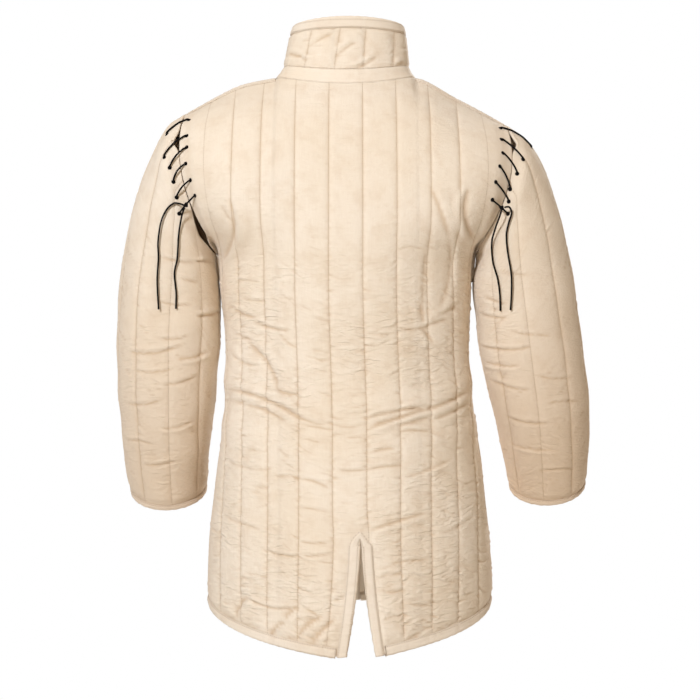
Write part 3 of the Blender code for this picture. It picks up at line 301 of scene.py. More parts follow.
# Creases across the back, listed one by one. A width under 0 puts the crease's ridge below it.
BACK_CREASES = (
    # start x, start z, end x, end z, bend, depth, width
    (-181, -186, -198, -277, 13, 3.0, 5.0),
    (-192, -194, -179, -220, -1, 1.6, 4.0),
    (182, -168, 196, -248, -13, 3.6, -5.0),
    (125, -169, 153, -243, 0, 2.0, 5.0),
    (153, -243, 139, -349, 10, 1.8, 5.0),
    (116, -264, 110, -380, 0, 1.4, -4.0),
    (75, -382, 113, -382, -3, 1.8, 4.0),
    (113, -383, 151, -368, 1, 2.0, 4.0),
    (108, -381, 129, -407, 2, 1.8, -4.0),
    (117, -374, 172, -340, -3, 1.4, 4.0),
    (113, -378, 103, -340, -2, 1.5, 3.0),
    (26, -391, 74, -389, -2, 1.3, 3.0),
    (74, -264, 114, -264, 5, 1.0, 4.0),
    (-179, -311, -133, -314, 4, 1.2, 4.0),
    (-182, -349, -139, -366, -4, 2.0, 4.0),
    (-148, -371, -88, -386, -4, 1.8, 4.0),
    (-180, -391, -148, -404, 2, 1.2, 4.0),
    (-166, -334, -126, -340, -3, 1.0, 4.0),
    (-158, -404, -105, -479, 8, 2.8, 6.0),
    (-110, -474, -76, -483, -5, 2.2, 4.0),
    (-185, -420, -139, -441, -6, 1.4, 5.0),
    (-184, -479, -75, -522, 8, 2.6, 6.0),
    (-186, -496, -90, -529, 6, 2.0, 6.0),
    (-102, -499, -26, -531, -9, 2.4, 5.0),
    (-81, -529, -24, -538, 0, 1.6, 4.0),
    (27, -537, 114, -509, 0, 3.2, -5.0),
    (108, -512, 184, -482, -3, 2.8, -6.0),
    (24, -522, 116, -503, 2, 2.4, 4.0),
    (70, -533, 128, -518, 0, 2.2, 4.0),
    (74, -541, 127, -544, 3, 1.8, 4.0),
    (-22, -600, 26, -598, 0, 1.7, 3.5),
    (78, -509, 113, -508, 2, 1.8, 4.0),
    (130, -523, 185, -499, -3, 1.6, -5.0),
    (-24, -529, 24, -529, -5, 1.0, 4.0),
    (-74, -550, -41, -558, 0, 1.3, 3.0),
    (-111, -608, -68, -612, 1, 1.8, 4.0),
    (-70, -612, -29, -626, 3, 2.0, 4.0),
    (27, -597, 79, -592, 1, 1.8, 4.0),
    (80, -611, 162, -583, -3, 1.6, -4.0),
    (30, -574, 71, -568, 3, 1.2, 4.0),
    (30, -689, 120, -663, 1, 2.2, -5.0),
    (-74, -654, -26, -662, 1, 1.2, 4.0),
    (-74, -705, -26, -704, -2, 1.6, 3.0),
    (-122, -720, -74, -726, -3, 2.2, 3.5),
    (-73, -726, -26, -722, -1, 1.8, 3.5),
    (66, -737, 125, -734, 2, 1.7, 4.0),
    (44, -758, 83, -755, 4, 1.4, 4.0),
    (45, -776, 86, -776, -3, 1.6, 4.0),
    (89, -797, 131, -796, -4, 1.3, 4.0),
    (-190, -589, -120, -599, -4, 1.2, 5.0),
    (-192, -674, -132, -689, -2, 1.2, 5.0),
    (137, -696, 192, -673, -3, 1.2, 5.0),
    (-172, -827, -154, -793, 5, 2.6, -5.0),
    (-154, -793, -80, -802, -8, 1.8, 4.0),
    (-96, -820, -74, -802, 2, 2.6, -6.0),
    (-78, -850, -38, -814, 5, 2.8, -5.0),
    (-54, -854, -17, -817, 3, 2.4, -5.0),
    (-119, -853, -95, -826, 5, 2.2, -6.0),
    (-23, -793, -8, -778, -2, 1.4, 3.0),
    (47, -823, 95, -817, 6, 1.3, 4.0),
    (98, -853, 131, -835, 6, 1.4, -4.0),
)
FRONT_CREASES_FROM = -790  # the lowest start of a crease that the fronts take over from the back
COLLAR_CREASES = (
    (-97, 54, -67, 38, 2, 1.8, 4.0),
    (-61, 61, -23, 80, 2, 1.6, 4.0),
    (-20, 43, 11, 65, 2, 1.6, 4.0),
    (8, 23, 44, 46, -3, 1.8, 4.0),
    (-9, 19, 16, 24, 1, 1.4, 3.5),
    (68, 20, 87, 40, 2, 1.8, 4.0),
    (68, 42, 70, 18, 0, 1.6, 3.5),
)
# Creases across each sleeve's back, as those across the body. The front takes the other sleeve's.
SLEEVE_CREASES = {
    "left": (
        (-293, -271, -240, -280, -3, 1.6, 3.5),
        (-240, -280, -197, -281, 3, 2.0, 3.5),
        (-262, -305, -236, -312, 0, 1.8, 3.0),
        (-240, -364, -200, -352, -3, 2.2, 4.0),
        (-300, -338, -244, -345, -4, 1.4, 3.5),
        (-346, -418, -259, -407, -8, 2.4, 4.0),
        (-296, -398, -248, -392, -4, 1.6, 3.5),
        (-268, -430, -222, -418, -5, 2.2, -4.0),
        (-330, -448, -270, -444, -4, 1.5, 3.5),
        (-352, -500, -292, -492, -5, 1.6, 4.0),
        (-290, -470, -238, -455, -4, 1.8, 3.5),
        (-300, -540, -245, -528, -4, 1.6, -3.5),
        (-360, -560, -310, -566, 3, 1.4, 3.5),
        (-330, -600, -270, -590, -3, 1.6, 3.5),
    ),
    "right": (
        (200, -404, 285, -410, -8, 2.4, 4.0),
        (206, -356, 250, -366, -4, 2.0, 3.5),
        (210, -330, 246, -345, -3, 1.8, -3.5),
        (214, -432, 268, -440, -5, 2.2, -4.0),
        (250, -385, 318, -392, -4, 1.6, 3.5),
        (226, -462, 280, -478, -4, 1.8, 3.5),
        (290, -455, 350, -458, -4, 1.5, 3.5),
        (250, -520, 318, -530, -5, 1.8, 4.0),
        (310, -500, 366, -498, 3, 1.5, 3.5),
        (258, -566, 330, -574, -4, 1.6, -3.5),
        (300, -610, 360, -606, 3, 1.5, 3.5),
        (232, -290, 282, -300, -3, 1.2, 3.5),
    ),
}


# Lines and steps --------------------------------------------------------------------------------


def unit(vectors):
    return vectors / np.maximum(np.linalg.norm(vectors, axis=-1, keepdims=True), 1e-9)


def ease(value):
    """A smooth step from 0 to 1."""
    value = np.clip(value, 0.0, 1.0)
    return value * value * (3 - 2 * value)


def spline_weights(places, count):
    """Catmull-Rom weights of `count` control rows for each fractional place."""
    table = np.zeros((len(places), count + 2))
    for line, place in enumerate(places):
        start = min(int(place), count - 2)
        f = place - start
        table[line, start:start + 4] = (
            -0.5 * f + f**2 - 0.5 * f**3,
            1 - 2.5 * f**2 + 1.5 * f**3,
            0.5 * f + 2 * f**2 - 1.5 * f**3,
            -0.5 * f**2 + 0.5 * f**3,
        )
    inner = table[:, 1:-1].copy()
    inner[:, 0] += 2 * table[:, 0]
    inner[:, 1] -= table[:, 0]
    inner[:, -1] += 2 * table[:, -1]
    inner[:, -2] -= table[:, -1]
    return inner


def bezier(p0, p1, p2, p3):
    t = np.linspace(0, 1, 240)[:, None]
    return (1 - t) ** 3 * p0 + 3 * (1 - t) ** 2 * t * p1 + 3 * (1 - t) * t**2 * p2 + t**3 * p3


def arc_length(points):
    """The distance along each line of points, over the next to last axis."""
    steps = np.linalg.norm(np.diff(points, axis=-2), axis=-1)
    start = np.zeros(steps.shape[:-1] + (1,))
    return np.concatenate([start, np.cumsum(steps, axis=-1)], axis=-1)


def points_along(line, places):
    """Points at the given distances along a line."""
    arc = arc_length(line)
    return np.stack([np.interp(places, arc, line[:, axis]) for axis in range(3)], axis=-1)


def respaced(points, step):
    """The same line with a point every `step`."""
    length = arc_length(points)[-1]
    return points_along(points, np.linspace(0, length, max(int(round(length / step)), 2) + 1))


def evened(lines, times):
    """All but the first and the last line drawn towards their neighbours."""
    lines = lines.copy()
    for _ in range(times):
        lines[1:-1] = lines[:-2] * 0.25 + lines[1:-1] * 0.5 + lines[2:] * 0.25
    return lines


def between(lines, at):
    """The line at a fractional place."""
    low, share = int(at), at % 1
    return lines[low] * (1 - share) + lines[low + 1] * share


def nearest(values, value):
    """The place of the entry that is closest to a value."""
    return int(np.argmin(np.abs(np.asarray(values) - value)))


# The body's form, as in the solids ------------------------------------------------------------


def armhole(angle):
    """A point of the right armhole: 0 is the shoulder tip, negative the back, 180 the underarm."""
    turn = np.radians(angle)
    fullness = np.where(turn < 0, ARMHOLE_FULLNESS["back"], ARMHOLE_FULLNESS["front"])
    return np.stack(
        [
            ARMHOLE["x"] + ARMHOLE["lean"] * np.cos(turn) + fullness * np.sin(turn) ** 2,
            ARMHOLE["half_depth"] * np.sin(turn),
            ARMHOLE["z"] + ARMHOLE["half_height"] * np.cos(turn),
        ],
        axis=-1,
    )


def column_distance(column):
    return QUILT_PITCH * (column - 0.5)


def top_edge(columns, face):
    """The neck curve and then the shoulder seam, for one half."""
    tip = armhole(np.array(0.0))
    across = column_distance(columns)
    share = np.clip(across / NECK_HALF, 0, 1)
    if face == "back":
        y, z = -NECK_BACK * np.sqrt(1 - share**2), NECK_SIDE_RISE * share**2
    else:
        drop = NECK_SIDE_RISE + NECK_FRONT_DROP
        y, z = NECK_FRONT * np.sqrt(1 - share**2), drop * share**2 - NECK_FRONT_DROP
    along = np.interp(columns, (0.5, 3, 4, 5, 6), (0, 130, 176, 215, tip[0]))
    beyond = np.clip((along - NECK_HALF) / (tip[0] - NECK_HALF), 0, 1)
    z = z - (NECK_SIDE_RISE - tip[2]) * beyond**SHOULDER_CURVE
    return np.stack([np.where(across > NECK_HALF, along, across), y, z], axis=-1)


def section(start, edge, turn, grip, columns, upper):
    """Points of one half cross section, which leaves the middle sideways and turns at its edge."""
    forward = -np.sign(start[1])
    heading = np.array([math.cos(math.radians(turn)), forward * math.sin(math.radians(turn)), 0])
    drop = edge[2] - start[2]
    first = start + np.array([0.55 * edge[0], 0, 0.2 * drop])
    second = edge - grip * heading - np.array([0, 0, 0.38 * drop])
    curve = bezier(start, first, second, edge)
    arc = arc_length(curve)
    if upper:
        reach = np.interp(columns, (0.5, 3, 4), (0, 130, 174))
        inner = np.interp(reach, curve[:, 0], arc)
        last, line = 4, np.interp(174, curve[:, 0], arc)
    else:
        inner = column_distance(columns) - start[0]
        last, line = LAST_LINE, column_distance(LAST_LINE) - start[0]
    outer = line + (arc[-1] - line) * (columns - last) / (SIDE_COLUMN - last)
    return points_along(curve, np.where(columns > last, outer, inner))


def side_edge(sign, rows):
    """The armhole down to the underarm and then the side seam, the same for back and front."""
    angles = [0] + [line[0] for line in UPPER_SECTIONS] + [180]
    seam = np.array([[line[2], 0.0, line[1]] for line in LOWER_SECTIONS])
    rows = np.asarray(rows, dtype=float)
    hole = armhole(sign * np.interp(rows, range(len(angles)), angles))
    low = spline_weights(np.clip(rows - UNDERARM_ROW, 0, None), len(seam)) @ seam
    return np.where(rows[:, None] < UNDERARM_ROW, hole, low)


def half_form(face, rows, columns):
    """The stitched surface of one half of the body, as rows by columns of points with x above 0."""
    sign = -1 if face == "back" else 1
    start_x = 0.0 if face == "back" else FRONT_EDGE
    net = [top_edge(columns, face)]
    for angle, back_z, back_depth, front_z, front_depth, turn in UPPER_SECTIONS:
        z, depth = (back_z, back_depth) if face == "back" else (front_z, front_depth)
        edge = armhole(np.array(float(sign * angle)))
        start = np.array([start_x, sign * depth, z])
        net.append(section(start, edge, turn, 0.3 * edge[0], columns, True))
    for back_z, side_z, half_width, back_depth, front_depth in LOWER_SECTIONS:
        share = 1.0 if face == "back" else FRONT_HEM_SHARE
        depth = back_depth if face == "back" else front_depth
        start = np.array([start_x, sign * depth, side_z + share * (back_z - side_z)])
        edge = np.array([half_width, 0.0, side_z])
        net.append(section(start, edge, 87, 0.56 * depth, columns, False))
    points = np.einsum("rn,ncx->rcx", spline_weights(rows, len(net)), np.array(net))
    points[:, columns == SIDE_COLUMN] = side_edge(sign, rows)[:, None]
    return points


def worn(points):
    """The lean of the whole garment, and one shoulder lifted and the other dropped."""
    x, z = points[..., 0], points[..., 2]
    high, low = LEAN_SPAN
    lean = LEAN_TOP + (LEAN_HEM - LEAN_TOP) * ease((high - z) / (high - low))
    near, fading, over = SHOULDER_SPAN
    reach = ease((np.abs(x) - NECK_HALF) / near) * (1 - ease((np.abs(x) - fading) / over))
    low, high = SHOULDER_HEIGHTS
    lift = np.where(x < 0, LEFT_SHOULDER_LIFT, -RIGHT_SHOULDER_DROP) * reach * ease((z - low) / (high - low))
    return points + np.stack([lean, np.zeros_like(x), lift], axis=-1)


def spread_vent(points, sides, rows):
    """The two tails swing apart below the top of the vent."""
    share = ((rows - VENT_ROW) / (HEM_ROW - VENT_ROW))[:, None]
    away = np.sign(sides - VENT_MIDDLE)
    beside = np.maximum(np.abs(sides - VENT_MIDDLE) - (VENT_RIGHT - VENT_MIDDLE), 0)
    moved = points.copy()
    moved[..., 0] += VENT_SPREAD * ease(share * 0.5) * 2 * away * np.exp(-(beside / VENT_REACH) ** 1.5)
    above = np.exp(-(np.clip(VENT_ROW - rows, 0, None) * ROW_HEIGHT / VENT_ABOVE) ** 2)[:, None]
    share = np.clip(share, 0, 1)
    aside = VENT_ASIDE + VENT_WIDENED * share * away - VENT_PINCHED * away * np.exp(-share * 9)
    moved[..., 0] += aside * above * np.exp(-(beside / VENT_BESIDE) ** 1.5)
    return moved


def waist_folds(points):
    """The large folds' height at each point."""
    x, z = points[..., 0], points[..., 2]
    height = np.zeros_like(z)
    for middle, rise, half_width, tall in WAIST_FOLDS:
        ridge = middle + rise * (x / 200) ** 2
        height += tall * np.exp(-((z - ridge) / half_width) ** 2)
    return height


def grid_normals(points, inside_out=False, closed=False):
    """Unit normals of a grid of points, which point out of the garment."""
    if closed:
        ring = np.concatenate([points[:, -1:], points, points[:, :1]], axis=1)
        across = (ring[:, 2:] - ring[:, :-2]) / 2
    else:
        across = np.gradient(points, axis=1)
    normals = unit(np.cross(np.gradient(points, axis=0), across))
    return -normals if inside_out else normals


# Folds and puckers ----------------------------------------------------------------------------


def channel_height(to_line):
    """The padding's share of its full height, `to_line` from the nearest stitched line."""
    return 0.82 * (1 - (1 - np.clip(to_line / VALLEY, 0, 1)) ** 2.4)


def crown_height(to_line, pitch):
    """How much fuller the padding is along a channel's middle."""
    return CROWN * np.sin(np.pi * np.clip(to_line / (pitch / 2), 0, 1) / 2)


def fold(off, wide, sharp, ridge_height, ridge_place, ridge_wide):
    """A groove with a ridge beside it, as shares of its depth; `off` is the distance from it."""
    groove = -np.exp(-np.abs(off / wide) ** sharp)
    return groove + ridge_height * np.exp(-((off - ridge_place * wide) / (ridge_wide * wide)) ** 2)


def creases(points, weights, table):
    """How far a table of creases moves each point out, in x and z."""
    x, z = points[..., 0], points[..., 2]
    moved = np.zeros_like(x)
    for x0, z0, x1, z1, bend, depth, width in table:
        length = math.hypot(x1 - x0, z1 - z0)
        along = ((x - x0) * (x1 - x0) + (z - z0) * (z1 - z0)) / length**2
        off = ((z - z0) * (x1 - x0) - (x - x0) * (z1 - z0)) / length - bend * 4 * along * (1 - along)
        wide = abs(width) * (0.45 + 0.5 * abs(z1 - z0) / length)
        window = ease((along + 0.08) / 0.3) * ease((1.08 - along) / 0.3)
        moved += 1.35 * depth * window * fold(off * np.sign(width), wide, 1.2, 0.75, 2.0, 1.7)
    return moved * weights


def undulation(points, seed, height, wave):
    """Broad, uneven rises and hollows."""
    chance = np.random.default_rng(seed)
    moved = np.zeros(points.shape[:2])
    for _ in range(9):
        way = unit(chance.normal(size=3)) / (wave * chance.uniform(0.7, 1.5)) * 2 * math.pi
        moved += np.sin(points @ way + chance.uniform(0, 2 * math.pi))
    return moved * height / 3


def puckers(across, down, seed, strength):
    """Short uneven creases across each channel and dimples along its stitched lines. `across` is
    in channels and `down` in millimetres; `strength` scales the depth at each point."""
    chance = np.random.default_rng(seed)
    moved = np.zeros_like(down)
    pitch = QUILT_PITCH
    middle = across[across.shape[0] // 2]
    for channel in range(int(np.floor(middle.min())), int(np.ceil(middle.max()))):
        columns = np.nonzero((middle >= channel) & (middle <= channel + 1))[0]
        if len(columns) < 3:
            continue
        first, last = columns[0], columns[-1] + 1
        place = down[:, columns[len(columns) // 2]]
        at = place[0]
        while at < place[-1]:
            at += chance.uniform(3, 12)
            kind, length = chance.uniform(), chance.uniform(0.3, 0.9)
            start = chance.uniform(0.05, 0.6)
            tilt, bend = chance.normal(0, 0.12), chance.normal(0, 0.05)
            deep, wide = 0.3 + 1.5 * chance.uniform(0, 1) ** 2.2, chance.uniform(1.2, 2.2)
            flip = chance.choice((-1, 1))
            low, high = np.searchsorted(place, (at - 18, at + 18))
            u = across[low:high, first:last] - channel
            if kind < 0.7:
                # It starts at one of the channel's two stitched lines.
                u = (u if kind < 0.35 else 1 - u) / length
                window = ease(u / 0.08 + 0.35) * (1 - ease(u))
            else:
                u = (u - start) / length
                window = ease(u / 0.3) * ease((1 - u) / 0.3)
            off = down[low:high, first:last] - at - tilt * (u - 0.5) * length * pitch
            off = (off - bend * pitch * 4 * u * (1 - u)) * flip
            moved[low:high, first:last] += deep * window * fold(off, wide, 1.3, 0.85, 2.2, 1.5)
    lines = np.round(across)
    to_line = np.abs(across - lines) * pitch
    phase = 2 * math.pi * down / 11 + 1.7 * np.sin(down / 23 + lines * 1.9) + lines * 2.4
    side = np.where(across > lines, 0.9, 0.0)
    near = np.exp(-(to_line / 6.0) ** 1.3)
    moved += 0.32 * near * np.sin(phase + side) * np.clip(to_line / 1.5, 0, 1)
    return moved * strength


# Meshes ---------------------------------------------------------------------------------------


def hollows(height):
    """How deep each point of a grid lies below the cloth around it, from 0 to 1, which the cloth's colour
    darkens by as painted shade.
    """
    around = height.copy()
    for _ in range(14):
        around[1:-1] = (around[:-2] + around[1:-1] * 2 + around[2:]) / 4
        around[:, 1:-1] = (around[:, :-2] + around[:, 1:-1] * 4 + around[:, 2:]) / 6
    return np.clip((around - height) / 1.3, 0, 1)


def put(name, points, faces, uv, shade, nodes=(), hollow_shade=None):
    """An object of the garment from points in millimetres, with a map of cloth coordinates."""
    mesh = bpy.data.meshes.new(name)
    mesh.from_pydata((np.asarray(points) * MM).tolist(), [], faces)
    layer = mesh.uv_layers.new(name="cloth")
    layer.uv.foreach_set("vector", np.asarray(uv, np.float32).ravel())
    if hollow_shade is not None:
        mesh.attributes.new("hollow_shade", "FLOAT", "POINT").data.foreach_set("value", hollow_shade)
    mesh.polygons.foreach_set("use_smooth", np.ones(len(mesh.polygons), bool))
    mesh.materials.append(shade)
    made = bpy.data.objects.new(name, mesh)
    bpy.context.scene.collection.objects.link(made)
    work = bmesh.new()
    work.from_mesh(mesh)
    bmesh.ops.recalc_face_normals(work, faces=work.faces)
    work.to_mesh(mesh)
    work.free()
    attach(made, BODY)
    if nodes:
        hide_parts(*nodes)
    return made


def wall(name, outer, inner, uv, hollow_shade, node, closed=False, cut=None, also=()):
    """A closed quilted wall with a fine grid outside, one with fewer rows inside, and rims along every
    free edge. `cut` marks the cells that are left out, `also` numbers rows that the inside keeps,
    and `uv` has one more column than the grid where it is closed."""
    rows, columns = outer.shape[:2]
    cells = columns if closed else columns - 1
    keep = np.ones((rows - 1, cells), bool)
    if cut is not None:
        keep[cut] = False
    inner_rows = sorted(set(range(0, rows - 1, INNER_STEP)) | {rows - 1} | set(also))
    flat = uv.tolist()
    count = rows * columns
    faces, maps = [], []

    def outside(r, c):
        return r * columns + c % columns, flat[r][c]

    def inside(i, c):
        return count + i * columns + c % columns, flat[inner_rows[i]][c]

    def face(*corners):
        faces.append(tuple(corner[0] for corner in corners))
        maps.extend(corner[1] for corner in corners)

    for r, c in zip(*np.nonzero(keep)):
        face(outside(r, c), outside(r, c + 1), outside(r + 1, c + 1), outside(r + 1, c))
    for i, (r0, r1) in enumerate(zip(inner_rows, inner_rows[1:])):
        for c in np.nonzero(keep[r0])[0]:
            face(inside(i, c), inside(i + 1, c), inside(i + 1, c + 1), inside(i, c + 1))
            if r0 == 0 or not keep[r0 - 1, c]:
                face(outside(r0, c + 1), outside(r0, c), inside(i, c), inside(i, c + 1))
            if r1 == rows - 1 or not keep[r1, c]:
                face(outside(r1, c), outside(r1, c + 1), inside(i + 1, c + 1), inside(i + 1, c))
            for edge, near in ((c, c - 1), (c + 1, c + 1)):
                if closed:
                    near %= cells
                if 0 <= near < cells and keep[r0, near]:
                    continue
                turn = (r0 + r1) // 2
                for r in range(r0, r1):
                    face(outside(r, edge), outside(r + 1, edge), inside(i + (r >= turn), edge))
                face(outside(turn, edge), inside(i + 1, edge), inside(i, edge))
    points = np.concatenate([outer.reshape(-1, 3), inner[inner_rows].reshape(-1, 3)])
    used = np.unique(np.concatenate([np.array(corners) for corners in faces]))
    place = np.full(len(points), -1)
    place[used] = np.arange(len(used))
    faces = [tuple(place[list(corners)].tolist()) for corners in faces]
    hollow_shade = np.concatenate([hollow_shade.ravel(), np.zeros(len(points) - count)])[used]
    return put(name, points[used], faces, maps, CREAM, (node,), hollow_shade)


def tube_faces(uv, closed=False):
    """The faces and the map of a tube. `uv` has a row for each ring of the tube, and one column
    more than a ring has points."""
    rings, around = len(uv), uv.shape[1] - 1
    if closed:
        uv = np.concatenate([uv, 2 * uv[-1:] - uv[-2:-1]])
    flat = uv.tolist()
    faces, maps = [], []
    for s in range(len(flat) - 1):
        t = (s + 1) % rings
        for k in range(around):
            m = (k + 1) % around
            faces.append((s * around + k, s * around + m, t * around + m, t * around + k))
            maps += (flat[s][k], flat[s][k + 1], flat[s + 1][k + 1], flat[s + 1][k])
    return faces, maps


def strip(name, path, normals, lift, uv, nodes=(), closed=False):
    """A folded tape over a path of points, stations by places across. `lift` is how far its upper
    face stands off the path."""
    across = path.shape[1]
    upper = path + normals * (SEAM_GAP + lift)[..., None]
    lower = path + normals * SEAM_GAP
    points = np.concatenate([upper, lower[:, ::-1]], axis=1)
    uv = np.concatenate([uv, uv[:, ::-1], uv[:, :1]], axis=1)
    faces, maps = tube_faces(uv, closed)
    if not closed:
        size = 2 * across
        for s in (0, len(path) - 1):
            for k in range(across - 1):
                corners = [k, k + 1, size - 2 - k, size - 1 - k]
                faces.append(tuple(s * size + corner for corner in corners))
                maps += uv[s, corners].tolist()
    return put(name, points.reshape(-1, 3), faces, maps, TAPE_CLOTH, nodes)


def hose(name, path, radii, nodes=(), sides=10, closed=False):
    """A round black cord along a path, with its ends rounded off."""
    count = len(path)
    if closed:
        ahead = unit(np.roll(path, -1, axis=0) - np.roll(path, 1, axis=0))
    else:
        ahead = unit(np.gradient(path, axis=0))
    radii = np.broadcast_to(radii, (count,))
    turns = np.linspace(0, 2 * math.pi, sides, endpoint=False)[:, None]
    normal = unit(np.cross(ahead[0], (0.3, 0.5, 0.81)))
    rings = []
    for place, way, radius in zip(path, ahead, radii):
        normal = unit(normal - way * normal.dot(way))
        rings.append(place + radius * (np.cos(turns) * normal + np.sin(turns) * np.cross(way, normal)))
    u, v = np.meshgrid(np.arange(sides + 1) / sides, arc_length(path) * MM)
    uv = np.stack([u, v], axis=-1)
    faces, maps = tube_faces(uv, closed)
    points = np.concatenate(rings)
    if not closed:
        for s, sign in ((0, -1), (count - 1, 1)):
            way = ahead[s] * sign * radii[s]
            small = path[s] + way * 0.45 + (rings[s] - path[s]) * 0.72
            tip = path[s] + way * 0.7
            base = len(points)
            points = np.concatenate([points, small, tip[None]])
            for k in range(sides):
                m = (k + 1) % sides
                faces.append((s * sides + k, s * sides + m, base + m, base + k))
                faces.append((base + k, base + m, base + sides))
                maps += uv[s, [k, k + 1, k + 1, k, k, k + 1, k]].tolist()
    return put(name, points, faces, maps, BLACK, nodes)


# Materials ------------------------------------------------------------------------------------


class Nodes:
    """A tree of nodes, built one by one."""

    def __init__(self, tree):
        self.tree = tree

    def plug(self, socket, value):
        if isinstance(value, bpy.types.NodeSocket):
            self.tree.links.new(value, socket)
        else:
            socket.default_value = value

    def dress(self, node, inputs):
        for key, value in inputs.items():
            self.plug(node.inputs[key], value)

    def add(self, kind, inputs=(), output=0, **props):
        node = self.tree.nodes.new(kind)
        for key, value in props.items():
            setattr(node, key, value)
        self.dress(node, dict(inputs))
        return node.outputs[output]

    def math(self, operation, a, b=0.0, c=0.0):
        return self.add("ShaderNodeMath", {0: a, 1: b, 2: c}, operation=operation)

    def split(self, vector):
        node = self.tree.nodes.new("ShaderNodeSeparateXYZ")
        self.plug(node.inputs[0], vector)
        return node.outputs

    def noise(self, vector, scale, detail=2.0, roughness=0.5, distortion=0.0):
        return self.add("ShaderNodeTexNoise", {"Vector": vector, "Scale": scale, "Detail": detail,
                                               "Roughness": roughness, "Distortion": distortion})

    def stretched(self, vector, across, down, *settings):
        """A noise that is finer one way than the other."""
        mapped = self.add("ShaderNodeMapping", {"Vector": vector, "Scale": (across, down, 1)})
        return self.noise(mapped, 1.0, *settings)

    def ramp(self, value, low, high, to_low=0.0, to_high=1.0):
        return self.add("ShaderNodeMapRange", {"Value": value, "From Min": low, "From Max": high,
                                               "To Min": to_low, "To Max": to_high},
                        interpolation_type="SMOOTHSTEP")

    def mix(self, factor, a, b):
        return self.add("ShaderNodeMix", {0: factor, 6: a, 7: b}, 2, data_type="RGBA")

    def bump(self, height, distance, strength, normal=None):
        inputs = {"Height": height, "Distance": distance, "Strength": strength}
        if normal is not None:
            inputs["Normal"] = normal
        return self.add("ShaderNodeBump", inputs)


def new_material(name):
    """A material, its nodes and its shader."""
    material = bpy.data.materials.new(name)
    material.use_nodes = True
    return material, Nodes(material.node_tree), material.node_tree.nodes["Principled BSDF"]


